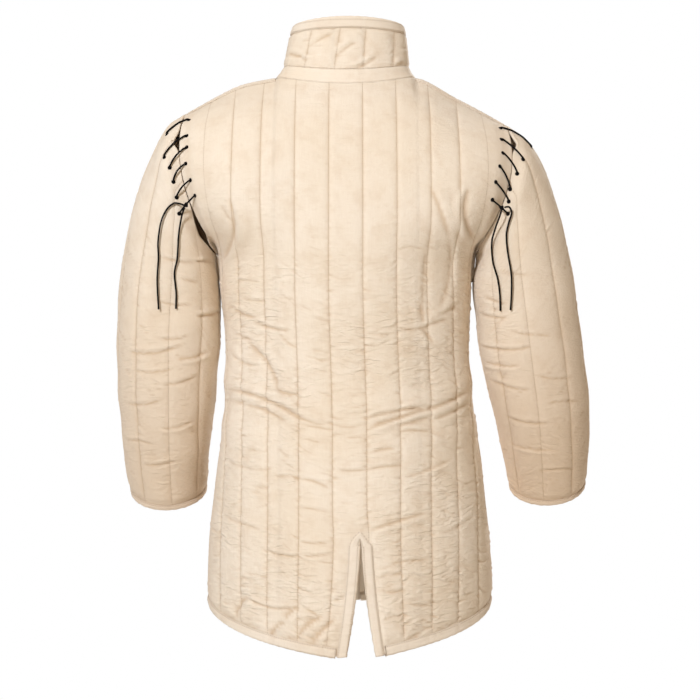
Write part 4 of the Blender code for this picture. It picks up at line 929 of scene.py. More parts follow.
def cotton(name, light, mid, shade, seam, pitch, thread, valley_shade_strength, wrinkled):
    """Plain-woven cotton with stitched lines wherever the map's u is whole. `pitch` is the metres
    between two such lines, and `thread` the weave's pitch. Its colour also carries painted shade in
    the wrinkles, the stitched valleys and the hollows, and on the lower sleeves."""
    material, made, shader = new_material(name)
    where = made.add("ShaderNodeTexCoord", output=3)
    x, _, z = made.split(where)
    u, v, _ = made.split(made.add("ShaderNodeUVMap", uv_map="cloth"))
    across = made.math("MULTIPLY", u, pitch)
    flat = made.add("ShaderNodeCombineXYZ", {0: across, 1: v})
    # Unevenly dyed and worn, with thicker threads both ways.
    blotch = made.noise(where, 38.0, 4.0, 0.6)
    weft = made.stretched(flat, 45, 900)
    warp = made.stretched(flat, 800, 38)
    threads = made.math("ADD", made.math("MULTIPLY", weft, 0.5), made.math("MULTIPLY", warp, 0.5))
    colour = made.mix(made.ramp(made.noise(where, 7.0, 3.0, 0.55), 0.35, 0.65), mid, light)
    colour = made.mix(made.math("MULTIPLY", made.ramp(blotch, 0.45, 0.72), 0.35), colour, shade)
    colour = made.mix(made.ramp(threads, 0.36, 0.64, 0.22, 0.0), colour, shade)
    # Fine wrinkles across each channel, ending at its stitched lines.
    channel = made.math("FLOOR", u)
    apart = made.add("ShaderNodeCombineXYZ", {0: made.math("MULTIPLY_ADD", channel, 0.731, across),
                                              1: made.math("MULTIPLY_ADD", channel, 0.313, z)})
    wrinkles = 0.0
    for wide, high, sharp in ((20, 60, 0.36), (40, 115, 0.33)):
        field = made.math("PINGPONG", made.stretched(apart, wide, high, 1.5, 0.45, 0.5), 0.5)
        wrinkles = made.math("ADD", made.ramp(field, sharp, 0.5), wrinkles)
    amount = made.ramp(made.noise(where, 11.0), 0.38, 0.62, 0.3, 1.0)
    amount = made.math("MULTIPLY", amount, made.ramp(z, -0.45, -0.2, wrinkled, wrinkled * 0.3))
    sleeve = made.ramp(made.math("ABSOLUTE", x), 0.2, 0.24)
    amount = made.math("MULTIPLY", amount, made.math("MULTIPLY_ADD", sleeve, -0.45, 1.0))
    wrinkles = made.math("MULTIPLY", wrinkles, amount)
    # Painted shade: the colour darkens towards the seam colour in the wrinkles' grooves.
    colour = made.mix(made.math("MULTIPLY", wrinkles, 0.07), colour, seam)
    # Painted shade on the sleeves: darker towards the cuffs, where they face down and away from the light,
    # and more on the right one, which is turned away from the key light.
    sleeve_painted_shade = made.math("MULTIPLY", sleeve, made.ramp(z, -0.72, -0.15, 0.8, 0.08))
    colour = made.mix(sleeve_painted_shade, colour, shade)
    colour = made.mix(made.math("MULTIPLY", sleeve_painted_shade, made.ramp(x, -0.1, 0.35, 0.0, 0.3)), colour, seam)
    # The stitched lines: a pinched valley, darkened as painted shade, with single stitches in it, whose dark
    # dots are partly the thread's colour and partly painted shadow in the needle holes.
    line = made.math("MULTIPLY", made.math("PINGPONG", u, 0.5), pitch)
    valley_shade = made.ramp(line, 0.0003, 0.0019, 1.0, 0.0)
    core = made.ramp(line, 0.0003, 0.0008, 1.0, 0.0)
    hole = made.ramp(made.math("PINGPONG", v, STITCH * MM / 2), 0.0003, 0.0008, 1.0, 0.0)
    stitch = made.math("MULTIPLY", core, hole)
    # Painted shade along each stitched valley.
    colour = made.mix(made.math("MULTIPLY", valley_shade, valley_shade_strength), colour, seam)
    colour = made.mix(made.math("MULTIPLY", stitch, 0.7), colour, tuple(x * 0.72 for x in seam[:3]) + (1.0,))
    # Painted shade: darker towards the seam colour wherever the cloth lies in a hollow below the cloth around
    # it.
    hollow_shade = made.add("ShaderNodeAttribute", output=2, attribute_name="hollow_shade")
    colour = made.mix(made.math("MULTIPLY", hollow_shade, 0.5), colour, seam)
    # The weave, the stitches and the wrinkles in relief.
    ripple = 2 * math.pi / thread
    over, under = (made.math("SINE", made.math("MULTIPLY", place, ripple)) for place in (across, v))
    weave = made.math("MULTIPLY_ADD", threads, 3.0, made.math("MULTIPLY", over, under))
    relief = made.bump(weave, 0.00012, 0.7)
    relief = made.bump(made.noise(where, 260.0, 3.0, 0.6), 0.0011, 0.5, relief)
    relief = made.bump(made.math("SUBTRACT", 1.0, stitch), 0.0007, 0.8, relief)
    relief = made.bump(made.math("MULTIPLY", wrinkles, -1.0), 0.001, 0.8, relief)
    made.dress(shader, {"Base Color": colour, "Normal": relief, "Sheen Weight": 0.12, "Sheen Roughness": 0.6,
                        "Roughness": made.ramp(blotch, 0.3, 0.7, 0.82, 0.95), "Specular IOR Level": 0.25})
    return material


def black_cord():
    """A round braided black cord, a little browner where it is worn."""
    material, made, shader = new_material("braided_black_lace")
    where = made.add("ShaderNodeTexCoord", output=3)
    u, v, _ = made.split(made.add("ShaderNodeUVMap", uv_map="cloth"))
    around = made.math("MULTIPLY", u, 2 * math.pi * 4)
    along = made.math("MULTIPLY", v, 2 * math.pi / 0.0022)
    one, other = (made.math("SINE", made.math(way, around, along)) for way in ("ADD", "SUBTRACT"))
    braid = made.math("MULTIPLY", one, other)
    worn_spots = made.noise(where, 160.0, 3.0, 0.6)
    black, worn_black = (0.006, 0.005, 0.005, 1), (0.022, 0.015, 0.012, 1)
    colour = made.mix(made.ramp(worn_spots, 0.5, 0.75, 0.0, 0.6), black, worn_black)
    # Painted shade: darker in the braid's grooves.
    colour = made.mix(made.ramp(braid, -0.6, 0.8, 0.35, 0.0), colour, (0.002, 0.002, 0.002, 1))
    made.dress(shader, {"Base Color": colour, "Normal": made.bump(braid, 0.00025, 0.8),
                        "Roughness": made.ramp(worn_spots, 0.3, 0.7, 0.65, 0.85), "Specular IOR Level": 0.08})
    return material


def plain_floor():
    material, made, shader = new_material("pale_floor")
    made.dress(shader, {"Base Color": (0.86, 0.86, 0.85, 1), "Roughness": 0.9})
    return material


# The fourth colour, the seam's, is also what the painted shade darkens towards.
CREAM = cotton("quilted_cream_cotton", (0.785, 0.67, 0.53, 1), (0.75, 0.625, 0.475, 1),
               (0.64, 0.485, 0.335, 1), (0.50, 0.32, 0.17, 1), QUILT_PITCH * MM, 0.0011, 0.12, 1.0)
TAPE_CLOTH = cotton("folded_cotton_tape", (0.79, 0.675, 0.54, 1), (0.755, 0.635, 0.49, 1),
                    (0.64, 0.49, 0.35, 1), (0.50, 0.34, 0.20, 1), TAPE_PITCH * MM, 0.0009, 0.2, 0.1)
BLACK = black_cord()


# Camera, cords, floor and light ---------------------------------------------------------------


def make_camera():
    camera = bpy.data.objects.new("camera", bpy.data.cameras.new("camera"))
    camera.location = CAMERA
    camera.rotation_euler = (math.radians(90), 0, 0)
    camera.data.lens = LENS
    camera.data.sensor_width = 36
    camera.data.shift_x = SHIFT
    camera.data.clip_end = 100
    bpy.context.scene.collection.objects.link(camera)
    bpy.context.scene.camera = camera


def smooth_route(points, step):
    """Points every `step` along a smooth curve through the route's own points."""
    points = np.array(points, float)
    fine = spline_weights(np.linspace(0, len(points) - 1, 400), len(points)) @ points
    return respaced(fine, step)


def make_cords():
    for name, route in LACE_ENDS.items():
        path = smooth_route(np.array(route) / MM, 1.6)
        left = arc_length(path)[-1] - arc_length(path)
        radii = LACE_RADIUS * (1 + 0.14 * ease((LACE_TAPER - left) / 2.5))
        piece = hose("hanging_" + name + "_end", path, radii, ("lace_end_" + name,), 12)
        line = smooth_route(np.array(route) / MM, LACE_END_STEP) * MM


def make_stage():
    """The white floor far below, the lights, and a world that is white only behind the garment."""
    scene = bpy.context.scene
    mesh = bpy.data.meshes.new("floor")
    turns = np.linspace(0, 2 * math.pi, 64, endpoint=False)
    rim = [(FLOOR_RADIUS * math.cos(turn), FLOOR_RADIUS * math.sin(turn), FLOOR_HEIGHT) for turn in turns]
    mesh.from_pydata(rim, [], [tuple(range(len(rim)))])
    mesh.materials.append(plain_floor())
    floor = bpy.data.objects.new("floor", mesh)
    scene.collection.objects.link(floor)
    scene.world = bpy.data.worlds.new("studio")
    scene.world.use_nodes = True
    made = Nodes(scene.world.node_tree)
    _, ahead, up = made.split(made.add("ShaderNodeTexCoord"))
    dim = made.ramp(up, -0.6, 0.5, 0.1, 0.42)
    made.dress(made.tree.nodes["Background"], {
        "Color": made.mix(made.ramp(ahead, *WHITE_AHEAD), (1.0, 0.84, 0.65, 1), (1, 1, 1, 1)),
        "Strength": made.ramp(ahead, *WHITE_AHEAD, dim, 1.0),
    })
    scene.view_settings.view_transform = "Standard"
    for name, place, size, power, colour in LIGHTS:
        data = bpy.data.lights.new(name, "AREA")
        data.size = size
        data.energy = power
        data.color = colour
        lamp = bpy.data.objects.new(name, data)
        lamp.location = place
        lamp.rotation_mode = "QUATERNION"
        lamp.rotation_quaternion = (Vector(LIT_PLACE) - Vector(place)).to_track_quat("-Z", "Y")
        scene.collection.objects.link(lamp)


# Panels ---------------------------------------------------------------------------------------


def panel_rows():
    spans = ((0, 1, 15), (1, 7, 84), (7, VENT_ROW, 196), (VENT_ROW, TAPE_ROW, 82), (TAPE_ROW, HEM_ROW, 9))
    rows = [np.linspace(a, b, n)[:-1] for a, b, n in spans]
    return np.concatenate(rows + [[HEM_ROW]])


def half_columns():
    """A half's columns from the first quilting line to the side."""
    columns = []
    for channel in range(1, SIDE_COLUMN):
        places = [channel + f for f in CHANNEL]
        if channel == int(NECK_COLUMN):
            near = int(np.argmin(np.abs(np.array(places) - NECK_COLUMN)))
            places[near] = NECK_COLUMN
        columns += places
    return np.array(columns + [SIDE_COLUMN], float)


class Panel:
    """One quilted panel: its grid, its normals and its two faces. `signs` is each column's side."""

    def __init__(self, face, signs, columns):
        self.face = face
        self.rows = panel_rows()
        self.columns, self.signs = columns, signs
        self.sides = signs * column_distance(columns) if face == "back" else np.full(len(columns), FAR)
        halves = half_form(face, self.rows, columns)
        halves[..., 0] *= signs
        if face == "back":
            halves = spread_vent(halves, self.sides, self.rows)
        weight = ease((self.rows - 3.6) / 1.2) * (1 - ease((self.rows - 9.0) / 1.2))
        weight = weight[:, None, None] * (1 - ease((columns - LAST_LINE) / 0.7))[None, :, None]
        self.base = worn(halves * (1 - weight) + evened(halves, SMOOTHED) * weight)
        self.across = np.broadcast_to(signs * (columns - 0.5) + 0.5, self.base.shape[:2])
        self.normals = grid_normals(self.base, inside_out=(face == "front" and signs[0] > 0))
        self.down = arc_length(self.base.transpose(1, 0, 2)).T

    def shape(self, seed, table):
        """Raises the padding, the puckers and a table of creases over the panel's form."""
        rows, columns = np.meshgrid(self.rows, self.columns, indexing="ij")
        to_line = np.abs(columns - np.round(columns)) * QUILT_PITCH
        # The last stitched line begins under the arm.
        stitched = 1 - (1 - ease(rows - 5.5)) * (np.abs(columns - LAST_LINE) < 0.5)
        rise = 1 - (1 - channel_height(to_line)) * stitched
        held = self.flat_height(rows, columns)
        height = (LIFT + PUFF * rise + crown_height(to_line, QUILT_PITCH) * stitched) * held
        edge = self.edge_fade(rows, columns)
        lively = 0.30 + 0.70 * ease((rows - 5.0) / 4.5)
        lively *= 0.35 + 0.65 * ease((TAPE_ROW - rows) / 0.12)
        lively *= 1 + 0.6 * ease((rows - 14.6) / 1.0)
        height += puckers(self.across, self.down, seed, lively * edge)
        height += undulation(self.base, seed + 50, 1.0, 110) * edge * ease(rows / 2)
        facing = np.clip(np.abs(self.normals[..., 1]) * 2.2 - 0.2, 0, 1)
        height += creases(self.base, facing * edge, table)
        self.hollow_shade = hollows(height) * edge
        middle = self.base + waist_folds(self.base)[..., None] * self.normals
        lining = WALL + LINING_PUFF * rise * held
        outer = middle + self.normals * height[..., None]
        inner = middle - self.normals * lining[..., None]
        self.outer, self.inner = rounded_edges(outer, inner, self.edge_distance())

    def flat_height(self, rows, columns):
        """The share of the padding's height that each point has, apart from the channels' form."""
        height = ease(rows / 0.9 - 0.1) * ease((TAPE_ROW - rows) / 0.22)
        near = (1 - ease((SIDE_COLUMN - columns - 0.2) / 0.5)) * (1 - ease((rows - UNDERARM_ROW) / 1.5))
        vent = 1 - ease((np.abs(self.sides - VENT_MIDDLE) - 17) / 8)
        return height * (1 - near) * (1 - vent * ease((rows - VENT_ROW + 0.3) / 0.3))

    def edge_fade(self, rows, columns):
        """0 at every edge that is bound or sewn, and 1 away from it."""
        fade = ease(rows / 0.5) * ease((HEM_ROW - rows) / 0.1)
        fade *= np.where(rows > UNDERARM_ROW, ease((SIDE_COLUMN - columns) / 0.12), 1.0)
        fade *= 1 - 0.75 * (1 - ease((SIDE_COLUMN - columns) / 0.5)) * (rows < UNDERARM_ROW)
        if self.face == "front":
            return fade * ease((columns - 0.6) / 0.3)
        vent = 1 - ease((np.abs(self.sides - VENT_MIDDLE) - 18) / 7)
        return fade * (1 - vent * ease((rows - VENT_ROW + 0.2) / 0.2))

    def edge_distance(self):
        """How far each point is from the free edge of the armhole."""
        far = np.full(self.base.shape[:2], FAR)
        upper = (self.rows < UNDERARM_ROW)[:, None]
        for edge, columns in ((-1, slice(-12, None)), (0, slice(0, 12))):
            if self.columns[edge] == SIDE_COLUMN:
                near = np.linalg.norm(self.base[:, columns] - self.base[:, [edge]], axis=-1)
                far[:, columns] = np.where(upper, near, FAR)
        return far


def rounded_edges(outer, inner, distance):
    """Both faces drawn together along a free edge, as a turned edge is."""
    inward = np.clip(distance / EDGE_ROUNDED, 0, 1)
    share = np.sqrt(np.clip(1 - (1 - inward) ** 2, 0.2, 1))[..., None]
    middle = (outer + inner) / 2
    return middle + (outer - middle) * share, middle + (inner - middle) * share


def make_panels():
    half = half_columns()
    middle = np.array(MIDDLE_SIDES, float)
    signs = np.concatenate([-np.ones(len(half)), np.sign(middle), np.ones(len(half))])
    columns = np.concatenate([half[::-1], 0.5 + np.abs(middle) / QUILT_PITCH, half])
    back = Panel("back", signs, columns)
    edge = 0.5 + FRONT_EDGE / QUILT_PITCH
    opening = [edge, edge + 0.02, edge + 0.06, edge + 0.13, edge + 0.25, 0.9, 0.94, 0.975]
    columns = np.concatenate([opening, half])
    left, right = (Panel("front", np.full(len(columns), sign), columns) for sign in (-1.0, 1.0))
    share_seams(back, left, right)
    front_creases = [(x0, z0 - 9, x1, z1 - 4, -bend, depth * 0.9, width)
                     for x0, z0, x1, z1, bend, depth, width in BACK_CREASES if z0 > FRONT_CREASES_FROM]
    back.shape(11, BACK_CREASES)
    left.shape(23, front_creases)
    right.shape(37, front_creases)
    return back, left, right


def share_seams(back, left, right):
    """Gives both sides of each seam the same normals and moves them half a gap apart."""
    underarm = nearest(back.rows, UNDERARM_ROW)
    neck = np.nonzero(right.columns >= NECK_COLUMN - 1e-6)[0]
    for front, mirrored in ((left, True), (right, False)):
        pairs = [((r, 0 if mirrored else -1), (r, -1)) for r in range(underarm, len(back.rows))]
        for place in neck:
            from_side = len(front.columns) - 1 - place
            column = from_side if mirrored else len(back.columns) - 1 - from_side
            pairs.append(((0, column), (0, place)))
        for at_back, at_front in pairs:
            normal = unit(back.normals[at_back] + front.normals[at_front])
            back.normals[at_back] = front.normals[at_front] = normal
            back.base[at_back][1] -= SEAM_GAP / 2
            front.base[at_front][1] += SEAM_GAP / 2


def cloth_map(piece, closed=False):
    """The map of a piece: u in channels, v in metres."""
    across, down = piece.across, piece.down * MM
    if closed:
        across = np.concatenate([across, across[:, :1] + SLEEVE_CHANNELS], axis=1)
        down = np.concatenate([down, down[:, :1]], axis=1)
    return np.stack([across, down], axis=-1)


def make_bodies(back, left, right):
    cut = np.zeros((len(back.rows) - 1, len(back.columns) - 1), bool)
    top = nearest(back.rows, VENT_ROW)
    between_tails = (back.sides[:-1] >= VENT_LEFT - 0.1) & (back.sides[1:] <= VENT_RIGHT + 0.1)
    cut[top:, between_tails] = True
    pieces = {}
    for name, panel in (("back", back), ("front_left", left), ("front_right", right)):
        made = wall("quilted_" + name, panel.outer, panel.inner, cloth_map(panel), panel.hollow_shade, name,
                    cut=cut if name == "back" else None, also=(top,))
        pieces[name] = made
    return pieces


# Bindings -------------------------------------------------------------------------------------


def edge_path(outer, inner, normals, base):
    """Stations by places across, from the outer face over the edge to the inner face. The arrays
    are stations by places, with the edge last."""
    last_normal = normals[:, -1]
    out = base[:, -1] - base[:, 0]
    out = unit(out - last_normal * np.sum(out * last_normal, axis=1, keepdims=True))
    middle = (outer[:, -1] + inner[:, -1]) / 2
    half = np.linalg.norm(outer[:, -1] - middle, axis=1, keepdims=True)
    turns = np.radians((25, 50, 75, 105, 130, 155))
    up, aside = (last_normal * np.cos(turns)[:, None, None], out * np.sin(turns)[:, None, None])
    arcs = (middle + half * (up + 0.45 * aside)).transpose(1, 0, 2)
    ways = unit(up + aside).transpose(1, 0, 2)
    path = np.concatenate([outer, arcs, inner[:, ::-1]], axis=1)
    return path, np.concatenate([normals, ways, -normals[:, ::-1]], axis=1)


def tape_map(path, middle, stitched):
    """A tape's map, whole in u at the stitching beside each border, with how far each place is from
    the nearer border, how wide the tape is and how far along it each station of its middle is."""
    arc = arc_length(path)
    total = arc[:, -1:]
    length = arc_length(middle)
    u = np.where(arc < total / 2, arc - stitched, arc - (total - stitched)) / TAPE_PITCH
    uv = np.stack([u, np.broadcast_to(length[:, None] * MM, u.shape)], axis=-1)
    return uv, np.minimum(arc, total - arc), float(np.mean(total)), length


def binding(name, node, grids, seed, closed=False, taper=0.0):
    """A folded tape round an edge, stitched down along both of its borders. It starts narrow and
    is full after `taper`."""
    outer, inner, normals, base = grids
    path, ways = edge_path(outer, inner, normals, base)
    if taper:
        share = 0.3 + 0.7 * ease(arc_length(base[:, -1]) / taper)[:, None, None]
        middle = path[:, path.shape[1] // 2][:, None]
        path = middle + (path - middle) * share
    stitched = 1.6
    uv, near, width, length = tape_map(path, base[:, -1], stitched)
    thick = 0.75 + 0.35 * ease(near / 0.9) + 0.9 * ease((near - stitched) / 3.0)
    chance = np.random.default_rng(seed)
    waves = np.zeros(len(length))
    for _ in range(5):
        waves += np.sin(length * 2 * math.pi / chance.uniform(7, 19) + chance.uniform(0, 6.3))
    pull = np.exp(-((near - stitched) / 1.1) ** 2)
    thick = thick + 0.13 * waves[:, None] * ease(near / 2.0) - 0.35 * pull
    made = strip(name, path, ways, np.maximum(thick, 0.35), uv, (node,), closed)


def row_edge(piece, far, along):
    """What a binding needs along a piece's last row."""
    edge = len(piece.outer) - 1
    rows = range(far, edge + 1)
    return [grid[np.ix_(rows, along)].transpose(1, 0, 2)
            for grid in (piece.outer, piece.inner, piece.normals, piece.base)]


def column_edge(piece, columns, along):
    """What a binding needs along a column; `columns` end at the edge."""
    return [grid[np.ix_(along, columns)] for grid in (piece.outer, piece.inner, piece.normals, piece.base)]


def trimmed(grids, start, end):
    """The stations shortened or lengthened at their two ends, in millimetres."""
    grids = [grid.copy() for grid in grids]
    line = grids[3][:, -1]
    for place, near, cut in ((0, 1, start), (-1, -2, end)):
        length = np.linalg.norm(line[near] - line[place])
        for grid in (grids[0], grids[1], grids[3]):
            grid[place] = grid[place] + (grid[near] - grid[place]) * cut / length
    return grids


def make_bindings(back, left, right):
    tape_row, top = nearest(back.rows, TAPE_ROW), nearest(back.rows, VENT_ROW)
    far_left, far_right = (nearest(back.sides, side) for side in VENT_TAPE_SIDES)
    down = range(top, len(back.rows))
    columns = range(far_left, nearest(back.sides, VENT_LEFT) + 1)
    grids = trimmed(column_edge(back, columns, down), 0.5, -TAPE)
    binding("bound_vent_left", "vent_binding_left", grids, 3, taper=15.0)
    columns = range(far_right, nearest(back.sides, VENT_RIGHT) - 1, -1)
    grids = trimmed(column_edge(back, columns, down), 0.5, -TAPE)
    binding("bound_vent_right", "vent_binding_right", grids, 4, taper=15.0)
    vent_arch(back, top)
    grids = trimmed(row_edge(back, tape_row, range(0, far_left + 1)), 0.5, 2.0)
    binding("bound_hem_back_left", "hem_binding_back_left", grids, 5)
    grids = trimmed(row_edge(back, tape_row, range(far_right, len(back.columns))), 2.0, 0.5)
    binding("bound_hem_back_right", "hem_binding_back_right", grids, 6)
    tape_column = 4  # the one that a front's opening is bound to
    for side, front, seed in (("left", left, 7), ("right", right, 8)):
        grids = trimmed(row_edge(front, tape_row, range(tape_column, len(front.columns))), 1.0, 0.5)
        binding("bound_hem_front_" + side, "hem_binding_front_" + side, grids, seed)
        grids = trimmed(column_edge(front, range(tape_column, -1, -1), range(len(front.rows))), 0.5, -TAPE)
        binding("bound_front_" + side, "front_binding_" + side, grids, seed + 10)
    for side, sign, seed in (("left", -1, 31), ("right", 1, 32)):
        places = np.nonzero((back.signs == sign) & (back.columns >= NECK_COLUMN - 1e-6))[0]
        shoulder_tape(side, back, places, seed)


def vent_arch(back, top):
    """The tape that turns over the top of the vent, from one binding to the other."""
    turns = np.linspace(-4, 4, 41)
    table = [np.interp(turns, range(-4, 5), column)[:, None] for column in np.array(VENT_ARCH).T]
    shares = np.linspace(0, 1, 11)
    sides, rows = (evened(table[i] * (1 - shares) + table[i + 2] * shares, 6) for i in (0, 1))
    places = np.interp(sides, back.sides, np.arange(len(back.sides)))
    r, c = (top + rows).astype(int), places.astype(int)
    f, g = (top + rows - r)[..., None], (places - c)[..., None]
    path, ways = ((grid[r, c] * (1 - g) + grid[r, c + 1] * g) * (1 - f)
                  + (grid[r + 1, c] * (1 - g) + grid[r + 1, c + 1] * g) * f
                  for grid in (back.outer, back.normals))
    uv, near, width, length = tape_map(path, path[:, 5], 1.4)
    ends = ease((4 - np.abs(turns)) / 1.3)[:, None]
    thick = 0.4 + 0.35 * ease(near / 0.9) + 0.9 * ease((near - 1.6) / 3.0) + 0.75 * ends
    made = strip("vent_arch", path, unit(ways), thick, uv)


def shoulder_tape(side, back, places, seed):
    """A flat tape behind the shoulder seam, stitched down along both borders."""
    reach = 12.0
    shares = (0.06, 0.12, 0.2, 0.35, 0.5, 0.65, 0.8, 0.88, 0.94)
    path, ways = (np.array([[between(grid[:, c], np.interp(share * reach, back.down[:, c], range(len(grid))))
                             for share in shares] for c in places]) for grid in (back.outer, back.normals))
    uv, near, width, length = tape_map(path, path[:, 0], 1.4)
    chance = np.random.default_rng(seed)
    waves = sum(np.sin(length * 2 * math.pi / chance.uniform(8, 17) + k) for k in range(4))
    thick = 0.5 + 0.6 * ease(near / 0.8) + 0.5 * ease((near - 1.5) / 2) + 0.1 * waves[:, None]
    made = strip("shoulder_seam_tape_" + side, path, unit(ways), np.maximum(thick, 0.4), uv,
                 ("shoulder_tape_" + side,))


# Sleeves --------------------------------------------------------------------------------------


class Sleeve:
    """One sleeve, as rings from its head to its cuff; column 0 is at the back."""

    def __init__(self, side):
        self.side, self.other = side, {"left": "right", "right": "left"}[side]
        sign = -1 if side == "left" else 1
        rings = len(SLEEVE_RINGS)
        spans = ((0, 0.3, 9), (0.3, 3, 46), (3, CUFF_ROW, 190), (CUFF_ROW, rings, 6))
        self.rows = np.concatenate([np.linspace(a, b, n)[:-1] for a, b, n in spans] + [[rings]])
        places = np.array([k + f for k in range(SLEEVE_CHANNELS) for f in CHANNEL])
        steps = places * 360 / SLEEVE_CHANNELS
        net = [self.head(steps)]
        net += [self.ring(steps, i / rings, line) for i, line in enumerate(SLEEVE_RINGS, 1)]
        points = np.einsum("rn,ncx->rcx", spline_weights(self.rows, len(net)), np.array(net))
        down = np.clip((self.rows - ARM_SPREAD_ROW) / (rings - ARM_SPREAD_ROW), 0, 1)
        points[..., 0] += sign * ARM_SPREAD * down[:, None] ** 1.5
        if side == "right":
            cuff = np.clip((self.rows - RIGHT_CUFF_ROW) / (rings - RIGHT_CUFF_ROW), 0, 1)
            outward = np.clip((points[..., 0] - 300) / 80, -1, 1)
            points[..., 2] += RIGHT_CUFF_RISE * cuff[:, None] ** 2 * (0.5 + 0.5 * outward)
        points[..., 0] *= sign
        self.base = worn(points)
        self.normals = grid_normals(self.base, inside_out=side == "left", closed=True)
        self.across = np.broadcast_to(places, self.base.shape[:2])
        self.down = arc_length(self.base.transpose(1, 0, 2)).T
        self.shape(steps, sign)

    def turns(self, steps, share):
        turn = np.radians(steps - 2 - 7 * share)
        return turn + 0.22 * share**2 * np.sin(turn)

    def head(self, steps):
        angle = (np.degrees(self.turns(steps, 0.0)) + 90) % 360 - 180
        gap = np.interp(angle, *zip(*HEAD_GAP[self.side]))
        return armhole(angle) + gap[:, None] * np.array([0.97, 0.0, -0.24])

    def ring(self, steps, share, line):
        outer_x, outer_z, inner_x, inner_z, y, depth, tilt, fullness = line
        pressed = ARM_PRESSED[self.side]
        inner_x -= np.interp(share * len(SLEEVE_RINGS), range(len(pressed)), pressed)
        turn = self.turns(steps, share)[:, None]
        outer, inner = np.array([outer_x, y, outer_z]), np.array([inner_x, y, inner_z])
        tilt = math.radians(tilt)
        front = depth * np.array([0.0, math.cos(tilt), math.sin(tilt)])
        full = np.where(np.cos(turn) > 0, fullness, fullness / 3) * np.cos(turn) ** 2
        middle = (outer + inner) / 2 + full * np.array([1.0, 0.0, 0.0])
        return middle + (outer - inner) / 2 * np.sin(turn) - front * np.cos(turn)

    def shape(self, steps, sign):
        """Raises the padding, the puckers and both tables of creases over the sleeve's form."""
        rows = np.broadcast_to(self.rows[:, None], self.base.shape[:2])
        to_line = np.abs(self.across - np.round(self.across)) * SLEEVE_PITCH
        pressed = np.clip(-np.sin(self.turns(steps, 0.5)), 0, 1) * (1 - ease((rows - 5) / 2))
        held = ease(rows - 0.2) * ease((CUFF_ROW - rows) / 0.25) * (1 - pressed)
        rise = channel_height(to_line) * held
        height = (LIFT + crown_height(to_line, SLEEVE_PITCH)) * held + PUFF * rise
        edge = ease((rows - 0.1) / 1.5) * ease((len(SLEEVE_RINGS) - rows) / 0.2)
        free = edge * (1 - 0.6 * pressed)
        lively = (0.35 + 0.65 * ease((rows - 3) / 4)) * free
        height += puckers(self.across, self.down, 71 + sign, lively) * 0.9
        height += undulation(self.base, 90 + sign, 1.2, 90) * free
        for way, side in ((-1, self.side), (1, self.other)):
            facing = np.clip(way * self.normals[..., 1] * 2.2 - 0.1, 0, 1)
            height += creases(self.base * (-way, 1, 1), facing * edge, SLEEVE_CREASES[side])
        self.hollow_shade = hollows(height) * edge
        outer = self.base + self.normals * height[..., None]
        inner = self.base - self.normals * (WALL + LINING_PUFF * rise)[..., None]
        self.outer, self.inner = rounded_edges(outer, inner, self.down)


def make_sleeves():
    sleeves = {}
    for side in ("left", "right"):
        sleeve = sleeves[side] = Sleeve(side)
        sleeve.piece = wall("quilted_sleeve_" + side, sleeve.outer, sleeve.inner, cloth_map(sleeve, True),
                            sleeve.hollow_shade, "sleeve_" + side, closed=True)
        grids = row_edge(sleeve, nearest(sleeve.rows, CUFF_ROW), range(sleeve.base.shape[1]))
        binding("bound_cuff_" + side, "cuff_binding_" + side, grids, 41, closed=True)
    return sleeves


# Collar ---------------------------------------------------------------------------------------


def neck_ring(back, left, right):
    """The neck edge from the left front round the back to the right front."""
    stop = nearest(right.columns, NECK_COLUMN)
    stations = [(left, i) for i in range(stop)]
    stations += [(back, i) for i in np.nonzero(back.columns <= NECK_COLUMN + 1e-6)[0]]
    stations += [(right, i) for i in range(stop - 1, -1, -1)]
    ring = {key: np.array([getattr(panel, key)[0, column] for panel, column in stations])
            for key in ("outer", "inner", "normals")}
    ring["stitched"] = np.nonzero([abs(panel.columns[column] % 1) < 1e-6 for panel, column in stations])[0]
    return ring


